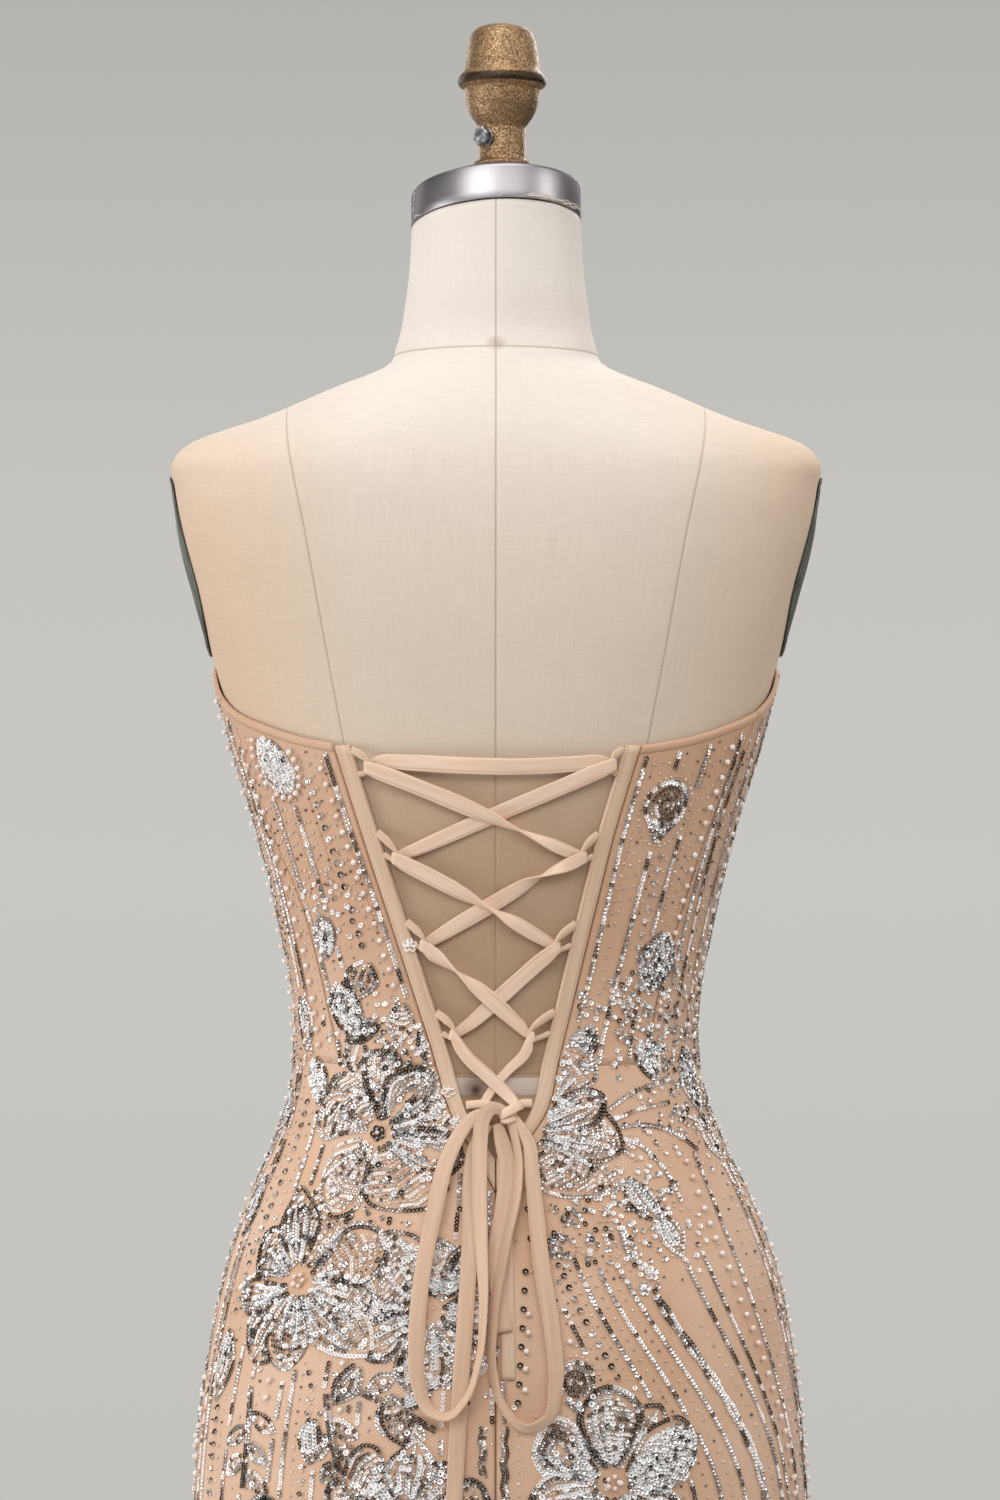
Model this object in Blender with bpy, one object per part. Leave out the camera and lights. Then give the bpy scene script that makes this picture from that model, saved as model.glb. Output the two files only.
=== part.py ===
"""Strapless bodycon dress with a laced back, on a limbless linen dress form with a stand.

Metres, +Z up. The laced back of the dress faces -Y and +X is to the right of someone who looks
at that back. The origin is on the floor, under the middle of the round base.

One rule gives the shape of the body: a stack of level sections, each a rounded oval whose sizes
stand in FORM_SECTIONS. A place on the body is a turn, measured round from the middle of the back
towards +X, and a height. The dress panels are walls that stand a little off that surface.
"""

import math

import bmesh
import bpy
import numpy as np

# ---- driving dimensions ---------------------------------------------------------------------

EASE = 0.0012  # between the linen and the inside of the dress
FRONT_EASE = 0.0014  # more of it in front, where the bodice bridges the bust
CLOTH = 0.0020  # tulle, beading net and lining together
BINDING_CLOTH = 0.0026
SEAM_GAP = 0.0005  # between two pieces that are sewn together
HEM = 0.565
WAIST = 1.036
FORM_BOTTOM = 0.715

BINDING_WIDTH = 0.0094
APEX = 0.984  # lowest point of the open V in the back
V_END = 0.964  # where the outer edges of its two bindings meet

LACE_WIDTH = 0.0094
LACE_THICK = 0.0012
LOOP_RADIUS = 0.0016

NECK_CAP_HEIGHT = 0.022
NECK_CAP_RADIUS = 0.0510
FINIAL_SEAT = 0.0180  # radius of the level seat on the cap
NECK_TOP = 1.5352  # linen ends here, at the middle of the neck

FINIAL_X = 0.0037
FINIAL_Y = 0.0100
BASE_RADIUS = 0.22
BASE_THICK = 0.012
POLE_RADIUS = 0.016
COLLAR_HEIGHT = 0.038

# Level sections of the form and, below its bottom, of the skirt.
# height, half width, depth behind, depth before, squareness, middle x, middle y, pitch, roll
FORM_SECTIONS = (
    (0.555, 0.1680, 0.1040, 0.0980, 2.10, 0.0026, 0.000, 0.00, 0.00),
    (0.640, 0.1760, 0.1110, 0.1030, 2.10, 0.0026, 0.000, 0.00, 0.00),
    (0.715, 0.1800, 0.1160, 0.1070, 2.10, 0.0026, 0.000, 0.00, 0.00),
    (0.770, 0.1800, 0.1190, 0.1090, 2.10, 0.0026, 0.000, 0.00, 0.00),
    (0.842, 0.1738, 0.1200, 0.1100, 2.10, 0.0026, 0.000, 0.00, 0.00),
    (0.878, 0.1682, 0.1170, 0.1090, 2.10, 0.0030, 0.000, 0.00, 0.00),
    (0.914, 0.1600, 0.1110, 0.1070, 2.12, 0.0030, 0.000, 0.00, 0.00),
    (0.950, 0.1471, 0.1020, 0.1030, 2.15, 0.0022, 0.000, 0.00, 0.00),
    (0.986, 0.1303, 0.0920, 0.0960, 2.20, 0.0016, 0.000, 0.00, 0.00),
    (1.022, 0.1195, 0.0830, 0.0890, 2.20, 0.0006, 0.000, 0.00, 0.00),
    (1.045, 0.1172, 0.0795, 0.0860, 2.20, 0.0000, 0.000, 0.00, 0.00),
    (1.076, 0.1190, 0.0785, 0.0860, 2.20, 0.0000, 0.000, 0.00, 0.00),
    (1.112, 0.1256, 0.0810, 0.0880, 2.20, 0.0000, 0.000, 0.00, 0.00),
    (1.148, 0.1335, 0.0850, 0.0900, 2.25, 0.0000, 0.000, 0.00, 0.00),
    (1.184, 0.1432, 0.0890, 0.0930, 2.30, 0.0000, 0.000, 0.00, 0.00),
    (1.220, 0.1545, 0.0925, 0.0960, 2.35, 0.0000, 0.000, 0.00, 0.00),
    (1.256, 0.1640, 0.0950, 0.0970, 2.45, 0.0000, 0.000, 0.00, 0.00),
    (1.310, 0.1790, 0.0980, 0.0950, 2.70, 0.0000, 0.000, 0.00, 0.00),
    (1.346, 0.1880, 0.0975, 0.0900, 2.90, 0.0000, 0.000, 0.00, 0.00),
    (1.376, 0.1918, 0.0945, 0.0830, 3.00, 0.0000, 0.000, 0.00, 0.00),
    (1.390, 0.1940, 0.0915, 0.0790, 2.80, 0.0000, 0.000, 0.00, 0.00),
    (1.402, 0.1845, 0.0875, 0.0750, 2.50, 0.0000, 0.000, 0.00, 0.00),
    (1.418, 0.1412, 0.0810, 0.0690, 2.20, 0.0000, 0.001, 0.00, 0.00),
    (1.436, 0.0990, 0.0710, 0.0620, 2.10, 0.0000, 0.002, 0.00, 0.00),
    (1.450, 0.0655, 0.0625, 0.0580, 2.00, 0.0000, 0.003, 0.01, 0.00),
    (1.462, 0.0600, 0.0565, 0.0565, 2.00, 0.0000, 0.004, 0.02, 0.00),
    (1.490, 0.0545, 0.0530, 0.0540, 2.00, 0.0000, 0.006, 0.08, 0.01),
    (1.515, 0.0518, 0.0510, 0.0515, 2.00, 0.0000, 0.008, 0.15, 0.03),
    (1.536, 0.0507, 0.0500, 0.0500, 2.00, 0.0000, 0.010, 0.20, 0.05),
)
NECK_PITCH = 0.20  # slope of the neck's top, which is higher at the back
NECK_ROLL = 0.05  # and lower at -X

# A general bust shape, two soft rises on the front.
BUST_HEIGHT = 1.222
BUST_APART = 0.080
BUST_WIDE = 0.052
BUST_TALL = 0.050
BUST_DEPTH = 0.032

# Upper edge of the dress, the same on both sides: turn in degrees, height
NECKLINE = (
    (0, 1.2235),
    (33, 1.2235),
    (42, 1.2275),
    (55, 1.2360),
    (67, 1.2440),
    (77, 1.2530),
    (90, 1.2650),
    (108, 1.2750),
    (130, 1.2850),
    (150, 1.2920),
    (167, 1.2860),
    (180, 1.2800),
)

# Seams that run down the bodice: height, turn in degrees on the left (-X) and on the right
SIDE_BACK_SEAM = (
    (1.030, 46.5, 45.0),
    (1.070, 52.5, 49.0),
    (1.135, 58.0, 54.5),
    (1.175, 65.0, 57.5),
    (1.220, 72.0, 62.0),
    (1.262, 77.0, 70.0),
)
SIDE_SEAM = 92
FRONT_SEAM = 149

# Inner edge of the V's bindings: height, x on the left and on the right
V_EDGE = (
    (APEX, -0.0012, 0.0012),
    (1.0086, -0.0162, 0.0190),
    (1.0410, -0.0260, 0.0271),
    (1.1334, -0.0554, 0.0492),
    (1.1703, -0.0672, 0.0583),
    (1.2236, -0.0838, 0.0742),
)

# Fabric loops on the bindings, in millimetres: side, upper root, tip x, tip height, lower root
LOOPS = (
    ("left_1", -1, 1219.5, -71.5, 1213.5, 1206.5),
    ("left_2", -1, 1171.5, -54.5, 1159.5, 1160.0),
    ("left_3", -1, 1119.5, -37.5, 1106.5, 1108.0),
    ("left_4", -1, 1066.5, -20.5, 1054.0, 1055.5),
    ("right_1", 1, 1219.5, 62.5, 1213.5, 1206.5),
    ("right_2", 1, 1170.5, 46.0, 1159.5, 1159.0),
    ("right_3", 1, 1118.5, 32.3, 1106.0, 1107.0),
    ("right_4", 1, 1067.0, 17.3, 1053.0, 1055.5),
)

# Lacing, in millimetres: x and height of both ends, and how far each end stands off the linen
LACING = (
    ("lace_top_bar", -68.0, 1211.5, 5.4, 59.0, 1211.5, 3.8),
    ("lace_cross_1_over", -67.0, 1208.0, 3.6, 43.0, 1162.0, 3.6),
    ("lace_cross_1_under", 58.5, 1209.0, 1.9, -51.0, 1161.0, 1.9),
    ("lace_cross_2_over", -50.5, 1156.0, 3.6, 29.0, 1109.0, 3.6),
    ("lace_cross_2_under", 42.5, 1156.0, 1.9, -34.5, 1109.5, 1.9),
    ("lace_cross_3_over", -34.0, 1102.5, 3.6, 14.0, 1056.5, 3.6),
    ("lace_cross_3_under", 29.5, 1102.0, 1.9, -17.0, 1057.0, 1.9),
    ("lace_cross_4_over", -17.0, 1050.0, 3.6, 4.0, 1021.5, 3.6),
    ("lace_cross_4_under", 14.5, 1048.0, 1.9, -2.0, 1021.5, 1.9),
)

# Where the knot sits, and the two short ends of lace that run into it from the last loops
KNOT = (10.3, 1009.2, 7.4)
KNOT_SIZE = (0.0064, 0.0052, 0.0060)
KNOT_LEADS = (
    ("lace_lead_left", (-17.6, 1015.2, 3.6), (-6.0, 1015.0, 3.5), (2.2, 1013.6, 3.8)),
    ("lace_lead_right", (19.4, 1019.0, 3.4), (15.4, 1019.2, 5.2), (11.4, 1018.2, 7.4)),
)

# The bow, in millimetres: x, height, distance off the linen
BOW_LEFT = (
    (-9.5, 1010.0, 6.9),
    (-20.3, 1002.0, 7.6),
    (-26.5, 988.0, 8.4),
    (-34.8, 952.6, 9.2),
    (-40.5, 918.0, 9.4),
    (-43.6, 880.0, 9.4),
    (-42.2, 858.0, 9.4),
    (-36.0, 843.5, 9.4),
    (-26.5, 840.8, 9.4),
    (-16.8, 850.0, 9.4),
    (-9.8, 870.0, 9.4),
    (-6.6, 904.0, 9.6),
    (-8.0, 940.0, 9.9),
    (-8.4, 970.0, 10.1),
    (-6.4, 1000.0, 10.3),
    (1.2, 1012.2, 10.6),
)
BOW_RIGHT = (
    (10.2, 1000.5, 7.4),
    (12.2, 983.0, 7.3),
    (8.9, 963.0, 7.3),
    (3.2, 932.0, 7.2),
    (-1.6, 893.0, 7.2),
    (-1.6, 866.0, 7.2),
    (4.6, 845.5, 7.2),
    (17.5, 834.2, 7.2),
    (28.6, 839.0, 7.2),
    (33.4, 858.0, 7.2),
    (31.2, 888.0, 7.2),
    (25.0, 928.0, 7.4),
    (21.6, 962.0, 8.6),
    (18.6, 986.0, 9.6),
    (14.6, 1000.5, 9.8),
)
TAIL_LONG = (
    (-10.5, 1000.0, 5.1),
    (-13.9, 985.0, 5.1),
    (-14.3, 946.0, 5.2),
    (-16.4, 904.0, 5.3),
    (-19.4, 862.0, 5.4),
    (-21.6, 825.0, 5.4),
    (-23.4, 791.0, 5.2),
    (-24.6, 752.0, 5.1),
)
TAIL_SHORT = (
    (2.2, 998.5, 5.1),
    (6.0, 987.0, 5.1),
    (3.4, 960.0, 5.1),
    (0.2, 932.0, 5.2),
    (1.6, 909.0, 5.3),
    (4.9, 887.5, 5.3),
)

# Flap that covers the closed zip below the V: height, its left edge x and its right edge x
ZIP_FLAP = ((0.861, 0.0030, 0.0112), (0.905, 0.0026, 0.0106), (0.955, 0.0022, 0.0088))

# Cast finial, turned: radius, height
FINIAL_PROFILE = (
    (0.0176, 1.5716),
    (0.0176, 1.5738),
    (0.0141, 1.5752),
    (0.0140, 1.5945),
    (0.0160, 1.5978),
    (0.0182, 1.6008),
    (0.0204, 1.6050),
    (0.0219, 1.6098),
    (0.0229, 1.6174),
    (0.0254, 1.6194),
    (0.0265, 1.6210),
    (0.0268, 1.6228),
    (0.0262, 1.6248),
    (0.0248, 1.6268),
    (0.0225, 1.6296),
    (0.0218, 1.6360),
    (0.0210, 1.6420),
    (0.0199, 1.6475),
    (0.0180, 1.6519),
    (0.0150, 1.6545),
    (0.0105, 1.6562),
    (0.0050, 1.6569),
    (0.0020, 1.6571),
)

# ---- the body's surface ---------------------------------------------------------------------


def read(table, at):
    """Every column after the first, at the places `at` of the first, on a smooth cubic."""
    rows = np.array(table, float)
    place = rows[:, 0]
    values = rows[:, 1:]
    slopes = np.gradient(values, place, axis=0)
    at = np.clip(np.asarray(at, float), place[0], place[-1])
    low = np.clip(np.searchsorted(place, at, side="right") - 1, 0, len(place) - 2)
    step = (place[low + 1] - place[low])[..., None]
    u = (at - place[low])[..., None] / step
    start = values[low] * (1 + 2 * u) * (1 - u) ** 2 + slopes[low] * step * u * (1 - u) ** 2
    end = values[low + 1] * u * u * (3 - 2 * u) + slopes[low + 1] * step * u * u * (u - 1)
    return np.moveaxis(start + end, -1, 0)


def skin(turn, height):
    """Points of the linen: a rounded oval at each height, with the bust added in front."""
    turn, height = np.broadcast_arrays(np.asarray(turn, float), np.asarray(height, float))
    half, behind, before, square, aside, middle, pitch, roll = read(FORM_SECTIONS, height)
    s, c = np.sin(turn), np.cos(turn)
    reach = (np.abs(s) ** square + np.abs(c) ** square) ** (-1 / square)
    x = half * s * reach
    y = middle - np.where(c > 0, behind, before) * c * reach
    across = (np.abs(x) - BUST_APART) / BUST_WIDE
    up = (height - BUST_HEIGHT) / BUST_TALL
    y = y + BUST_DEPTH * np.exp(-(across**2) - up**2) * np.clip(-c * 1.5, 0, 1)
    z = height - pitch * (y - middle) + roll * x
    return np.stack((x + aside, y, z), -1)


def outward(turn, height):
    """Unit normals of the skin, from its slopes round and up."""
    small = 1e-3
    along = skin(turn + small, height) - skin(turn - small, height)
    up = skin(turn, height + small) - skin(turn, height - small)
    normal = np.cross(along, up)
    return normal / np.linalg.norm(normal, axis=-1, keepdims=True)


def off_skin(turn, height, out):
    return skin(turn, height) + outward(turn, height) * np.asarray(out)[..., None]


def dress_faces(turn, height, thick):
    """The inner and outer points of a wall of cloth, clear of the linen."""
    clear = EASE + FRONT_EASE * np.clip(-1.5 * np.cos(turn), 0, 1)
    return off_skin(turn, height, clear), off_skin(turn, height, clear + thick)


def turn_at(x, height):
    """The turn on the back half where the skin is at this x, found by halving."""
    x, height = np.broadcast_arrays(np.asarray(x, float), np.asarray(height, float))
    low = np.full(x.shape, -math.pi / 2)
    high = np.full(x.shape, math.pi / 2)
    for _ in range(36):
        middle = (low + high) / 2
        short = skin(middle, height)[..., 0] < x
        low = np.where(short, middle, low)
        high = np.where(short, high, middle)
    return (low + high) / 2


# ---- seam lines, as turns at a height ---------------------------------------------------------


def neckline(turn):
    return read(NECKLINE, np.degrees(np.abs(turn)))[0]


def side_back(side):
    column = 0 if side < 0 else 1
    return lambda height: side * np.radians(read(SIDE_BACK_SEAM, height)[column])


def straight_seam(degrees):
    return lambda height: np.full(np.shape(height), math.radians(degrees))


def v_edge(side, height):
    return read(V_EDGE, height)[0 if side < 0 else 1]


def back_edge(side):
    """The edge of the back panels: beside the binding down to V_END, then the middle seam."""

    def edge(height):
        width = BINDING_WIDTH * np.clip((height - V_END) / (APEX - V_END), 0, 1)
        inner = np.where(height > APEX, v_edge(side, height), side * 0.0012)
        inner = inner * np.clip((height - V_END) / (APEX - V_END), 0, 1)
        return turn_at(inner + side * width, height)

    return edge


# ---- making meshes ---------------------------------------------------------------------------


def material(name, color, roughness, metallic=0.0):
    made = bpy.data.materials.new(name)
    made.use_nodes = True
    shader = made.node_tree.nodes["Principled BSDF"]
    shader.inputs["Base Color"].default_value = (*color, 1)
    shader.inputs["Roughness"].default_value = roughness
    shader.inputs["Metallic"].default_value = metallic
    made.diffuse_color = (*color, 1)
    return made


def add(name, points, faces, finish, smooth=True):
    """One closed object from points and faces, with its faces turned outwards."""
    mesh = bpy.data.meshes.new(name)
    mesh.from_pydata([tuple(p) for p in points], [], faces)
    work = bmesh.new()
    work.from_mesh(mesh)
    bmesh.ops.recalc_face_normals(work, faces=work.faces)
    work.to_mesh(mesh)
    work.free()
    if smooth:
        mesh.shade_smooth()
        mesh.set_sharp_from_angle(angle=math.radians(40))
    mesh.materials.append(finish)
    made = bpy.data.objects.new(name, mesh)
    bpy.context.scene.collection.objects.link(made)
    return made


def loft(name, rings, finish):
    """A closed solid through rings of equal count, with a flat face on each end ring."""
    count = len(rings[0])
    points = np.concatenate(rings)
    faces = []
    for r in range(len(rings) - 1):
        for i in range(count):
            j = (i + 1) % count
            a = r * count
            faces.append((a + i, a + j, a + count + j, a + count + i))
    faces.append(tuple(range(count)))
    faces.append(tuple(range(len(points) - count, len(points))))
    return add(name, points, faces, finish)


def turned(name, profile, centre, finish, segments=36):
    """A solid of revolution about an upright line: profile rows are radius and height."""
    angle = np.linspace(0, 2 * math.pi, segments, endpoint=False)
    rings = []
    for radius, height in profile:
        ring = np.stack(
            (
                centre[0] + radius * np.cos(angle),
                centre[1] + radius * np.sin(angle),
                np.full(segments, height),
            ),
            -1,
        )
        rings.append(ring)
    return loft(name, rings, finish)


def wall(name, inner, outer, finish):
    """A sheet with thickness, between two grids of points with the same rows and columns."""
    rows, columns = inner.shape[:2]
    points = np.concatenate((inner.reshape(-1, 3), outer.reshape(-1, 3)))
    number = np.arange(rows * columns).reshape(rows, columns)
    shift = rows * columns
    faces = []
    for r in range(rows - 1):
        for c in range(columns - 1):
            a, b = number[r, c], number[r, c + 1]
            d, e = number[r + 1, c + 1], number[r + 1, c]
            faces.append((a, b, d, e))
            faces.append((a + shift, e + shift, d + shift, b + shift))
    rim = np.concatenate((number[0, :], number[1:, -1], number[-1, -2::-1], number[-2:0:-1, 0]))
    for a, b in zip(rim, np.roll(rim, -1)):
        faces.append((a, a + shift, b + shift, b))
    return add(name, points, faces, finish)


def sweep(name, path, facing, profile, finish):
    """A solid with one cross-section along a path. Profile rows are across and outward."""
    along = np.gradient(path, axis=0)
    along /= np.linalg.norm(along, axis=1, keepdims=True)
    across = np.cross(facing, along)
    across /= np.linalg.norm(across, axis=1, keepdims=True)
    lift = np.cross(along, across)
    rings = [p + across[i] * profile[:, :1] + lift[i] * profile[:, 1:] for i, p in enumerate(path)]
    return loft(name, rings, finish)


def smooth_route(rows, spacing):
    """Rows of a route joined by a smooth cubic, with a point about every `spacing` metres."""
    rows = np.array(rows, float)
    steps = np.linalg.norm(np.diff(rows, axis=0), axis=1)
    length = np.concatenate(([0], np.cumsum(steps)))
    at = np.linspace(0, length[-1], max(2, round(length[-1] / spacing)) + 1)
    return np.stack(read(np.column_stack((length, rows)), at), -1)


def on_back(rows, spacing):
    """World points and outward directions of a route of x, height and distance in mm."""
    x, height, out = smooth_route(np.array(rows) / 1000, spacing).T
    turn = turn_at(x, height)
    return off_skin(turn, height, out), outward(turn, height)


def lace_profile():
    w, t = LACE_WIDTH / 2, LACE_THICK / 2
    return np.array(((-w, -t), (w, -t), (w, t), (-w, t)))


def round_profile(radius, sides):
    angle = np.linspace(0, 2 * math.pi, sides, endpoint=False)
    return np.stack((radius * np.cos(angle), radius * np.sin(angle)), -1)


# ---- the dress ---------------------------------------------------------------------------------


def panel(name, first, second, rows, columns, finish, bottom=None):
    """A panel between two seam lines. With `bottom`, rows is a count up to the neckline."""
    u = np.linspace(0, 1, columns + 1)[None, :]
    if bottom is None:
        height = np.repeat(np.array(rows)[:, None], columns + 1, axis=1)
        turn = first(height) + u * (second(height) - first(height))
    else:
        v = np.linspace(0, 1, rows + 1)[:, None]
        turn = np.full((rows + 1, columns + 1), float(np.mean(first(np.array([bottom])))))
        for _ in range(12):
            height = bottom + v * (neckline(turn) - bottom)
            turn = first(height) + u * (second(height) - first(height))
    # draw both side edges in by half a seam gap
    reach = np.linalg.norm(skin(turn, height)[..., :2], axis=-1)
    turn = turn + (1 - 2 * u) * np.sign(second(height) - first(height)) * SEAM_GAP / 2 / reach
    return wall(name, *dress_faces(turn, height, CLOTH), finish)


def bodice(finish):
    bottom = WAIST + SEAM_GAP / 2
    for side, word in ((-1, "left"), (1, "right")):
        seam, edge = side_back(side), back_edge(side)
        under_arm = straight_seam(side * SIDE_SEAM)
        front_seam = straight_seam(side * FRONT_SEAM)
        panel(f"bodice_back_{word}", edge, seam, 10, 5, finish, bottom)
        panel(f"bodice_side_{word}", seam, under_arm, 10, 4, finish, bottom)
        panel(f"bodice_front_side_{word}", under_arm, front_seam, 10, 9, finish, bottom)
    first, second = straight_seam(FRONT_SEAM), straight_seam(360 - FRONT_SEAM)
    u = np.linspace(0, 1, 11)[None, :]
    v = np.linspace(0, 1, 11)[:, None]
    gap = math.radians(0.08)
    turn = first(v) + gap + u * (second(v) - first(v) - 2 * gap)
    height = bottom + v * (neckline(math.pi - np.abs(turn - math.pi)) - bottom)
    wall("bodice_front_centre", *dress_faces(turn, height, CLOTH), finish)


def skirt(finish):
    lower = np.linspace(HEM, V_END, 13)
    beside_v = np.linspace(V_END, APEX, 3)[1:]
    upper = np.linspace(APEX, WAIST - SEAM_GAP / 2, 4)[1:]
    rows = np.concatenate((lower, beside_v, upper))
    for side, word in ((-1, "left"), (1, "right")):
        under_arm = straight_seam(side * SIDE_SEAM)
        panel(f"skirt_back_{word}", back_edge(side), under_arm, rows, 14, finish)
    panel("skirt_front", straight_seam(SIDE_SEAM), straight_seam(360 - SIDE_SEAM), rows, 26, finish)


def binding(side, word, finish):
    """The strip along one edge of the V, mitred where the two strips meet below it."""
    top = neckline(0.0) - 0.0003
    tip = V_END + 3 * SEAM_GAP
    outer_height = np.concatenate((np.linspace(tip, APEX, 3), np.linspace(APEX, top, 13)[1:]))
    v = (outer_height - tip) / (top - tip)
    inner_height = APEX + v * (top - APEX)
    inner_x = np.where(v == 0, side * 0.0004, v_edge(side, inner_height))
    outer_turn = back_edge(side)(outer_height)
    outer_x = skin(outer_turn, outer_height)[:, 0] - side * SEAM_GAP / 2
    outer_x = np.where(v == 0, side * 0.0004, outer_x)
    u = np.linspace(0, 1, 3)[None, :]
    x = inner_x[:, None] + u * (outer_x - inner_x)[:, None]
    height = inner_height[:, None] + u * (outer_height - inner_height)[:, None]
    turn = turn_at(x, height)
    wall(f"v_binding_{word}", *dress_faces(turn, height, BINDING_CLOTH), finish)


def zip_flap(finish):
    """A narrow strip laid over the closed centre-back zip."""
    height = np.linspace(ZIP_FLAP[0][0], ZIP_FLAP[-1][0], 7)
    left, right = read(ZIP_FLAP, height)
    u = np.linspace(0, 1, 3)[None, :]
    x = left[:, None] + u * (right - left)[:, None]
    heights = np.repeat(height[:, None], 3, axis=1)
    turn = turn_at(x, heights)
    under = off_skin(turn, heights, np.full(turn.shape, EASE + CLOTH + 0.0003))
    upper = off_skin(turn, heights, np.full(turn.shape, EASE + CLOTH + 0.0011))
    wall("zip_flap", under, upper, finish)


def lace_loops(finish):
    """Each loop is a fine fabric tube: out of the binding, round its tip and back."""
    for name, side, high, tip_x, tip_height, low in LOOPS:
        root = 1000 * v_edge(side, np.array([high, low]) / 1000) - side * 2.2
        out = 1000 * EASE + 1.7
        bend = (0.45 * root[0] + 0.55 * tip_x, 0.45 * high + 0.55 * tip_height + 1.0)
        turn_back = (0.5 * root[1] + 0.5 * tip_x, 0.75 * low + 0.25 * tip_height - 1.4)
        rows = (
            (root[0], high, out),
            (*bend, out + 0.6),
            (tip_x, tip_height, out + 0.6),
            (*turn_back, out + 0.4),
            (root[1], low, out),
        )
        path, facing = on_back(rows, 0.0035)
        sweep(f"loop_{name}", path, facing, round_profile(LOOP_RADIUS, 6), finish)


def lacing(finish):
    for name, x0, z0, out0, x1, z1, out1 in LACING:
        path, facing = on_back(((x0, z0, out0), (x1, z1, out1)), 0.009)
        sweep(name, path, facing, lace_profile(), finish)
    for name, *rows in KNOT_LEADS:
        path, facing = on_back(rows, 0.003)
        sweep(name, path, facing, round_profile(LOOP_RADIUS, 6), finish)


def bow(finish):
    for name, rows in (
        ("bow_loop_left", BOW_LEFT),
        ("bow_loop_right", BOW_RIGHT),
        ("bow_tail_long", TAIL_LONG),
        ("bow_tail_short", TAIL_SHORT),
    ):
        path, facing = on_back(rows, 0.008)
        sweep(name, path, facing, lace_profile(), finish)
    x, height, out = np.array(KNOT) / 1000
    place = off_skin(turn_at(x, height), height, out)
    work = bmesh.new()
    bmesh.ops.create_uvsphere(work, u_segments=14, v_segments=8, radius=1.0)
    bmesh.ops.scale(work, vec=KNOT_SIZE, verts=work.verts)
    bmesh.ops.translate(work, vec=place, verts=work.verts)
    mesh = bpy.data.meshes.new("bow_knot")
    work.to_mesh(mesh)
    work.free()
    mesh.shade_smooth()
    mesh.materials.append(finish)
    bpy.context.scene.collection.objects.link(bpy.data.objects.new("bow_knot", mesh))


# ---- the dress form and its stand ---------------------------------------------------------------


def form_torso(finish):
    turn = np.linspace(0, 2 * math.pi, 44, endpoint=False)
    low = np.linspace(FORM_BOTTOM, 1.376, 27)
    high = (1.384, 1.390, 1.396, 1.402, 1.410, 1.418, 1.427, 1.436, 1.443, 1.450, 1.456, 1.462)
    neck = np.linspace(1.470, NECK_TOP, 5)
    heights = np.concatenate((low, high, neck))
    rings = [skin(turn, h) for h in heights]
    soft_edge = skin(turn, FORM_BOTTOM) * (0.975, 0.975, 1) - (0, 0, 0.004)
    loft("form_torso", [soft_edge, *rings], finish)


def neck_cap(finish):
    """A spun cap: a straight band with a low dome on it, square to the neck's sloping top. The
    dome rises to a level seat round the finial's axis, which the finial's foot stands on."""
    angle = np.linspace(0, 2 * math.pi, 48, endpoint=False)
    rows = (  # radius, rise, and how much of it follows the neck and not the level seat
        (NECK_CAP_RADIUS, 0.0, 1.0),
        (NECK_CAP_RADIUS, NECK_CAP_HEIGHT - 0.0012, 1.0),
        (NECK_CAP_RADIUS - 0.0012, NECK_CAP_HEIGHT, 1.0),
        (0.036, NECK_CAP_HEIGHT + 0.0060, 1.0),
        (0.026, NECK_CAP_HEIGHT + 0.0094, 0.5),
        (FINIAL_SEAT + 0.0006, NECK_CAP_HEIGHT + 0.0128, 0.0),
        (FINIAL_SEAT, NECK_CAP_HEIGHT + 0.0134, 0.0),
    )
    middle_y = read(FORM_SECTIONS, np.array(NECK_TOP))[5]
    rings = []
    for radius, rise, follows in rows:
        x = radius * np.cos(angle) + (1 - follows) * FINIAL_X
        y = radius * np.sin(angle) + follows * (middle_y + NECK_PITCH * rise)
        y += (1 - follows) * FINIAL_Y
        z = NECK_TOP + 0.0006 + rise - follows * (NECK_PITCH * (y - middle_y) - NECK_ROLL * x)
        rings.append(np.stack((x, y, z), -1))
    loft("neck_cap", rings, finish)


def set_screw(finish):
    """A hexagon-headed screw and its washer in the stem of the finial, pointing back and left."""
    aim = np.array((-math.sin(math.radians(40)), -math.cos(math.radians(40)), 0))
    side = np.array((aim[1], -aim[0], 0))
    up = np.array((0, 0, 1))
    centre = np.array((FINIAL_X, FINIAL_Y, 1.5876))
    for name, sides, radius, start, end in (
        ("set_screw_washer", 20, 0.0056, 0.0146, 0.0164),
        ("set_screw_head", 6, 0.0060, 0.0168, 0.0212),
    ):
        angle = np.linspace(0, 2 * math.pi, sides, endpoint=False) + math.radians(15)
        round_it = radius * (np.cos(angle)[:, None] * side + np.sin(angle)[:, None] * up)
        soft = 0.0005
        rings = [
            centre + aim * start + round_it,
            centre + aim * (end - soft) + round_it,
            centre + aim * end + round_it * (1 - soft / radius),
        ]
        loft(name, rings, finish)


def arm_plate(side, word, finish):
    """An oval plate that closes the arm hole, following the form's side."""
    middle, tall, wide = 1.3300, 0.0540, 0.0380
    depth = 0.0015
    ring = np.linspace(0, 2 * math.pi, 24, endpoint=False)

    def layer(share, out):
        height = middle + share * tall * np.sin(ring)
        turn = side * (math.pi / 2 + share * wide / 0.098 * np.cos(ring))
        return off_skin(turn, height, np.full(ring.shape, out))

    clear = 0.0009
    under = [layer(s, clear) for s in (0.02, 0.35, 0.7, 1.0)]
    upper = [layer(s, clear + depth) for s in (0.955, 0.7, 0.35, 0.02)]
    edge = [layer(1.0, clear + depth * 0.6)]
    loft(f"arm_plate_{word}", [*under, *edge, *upper], finish)


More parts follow.
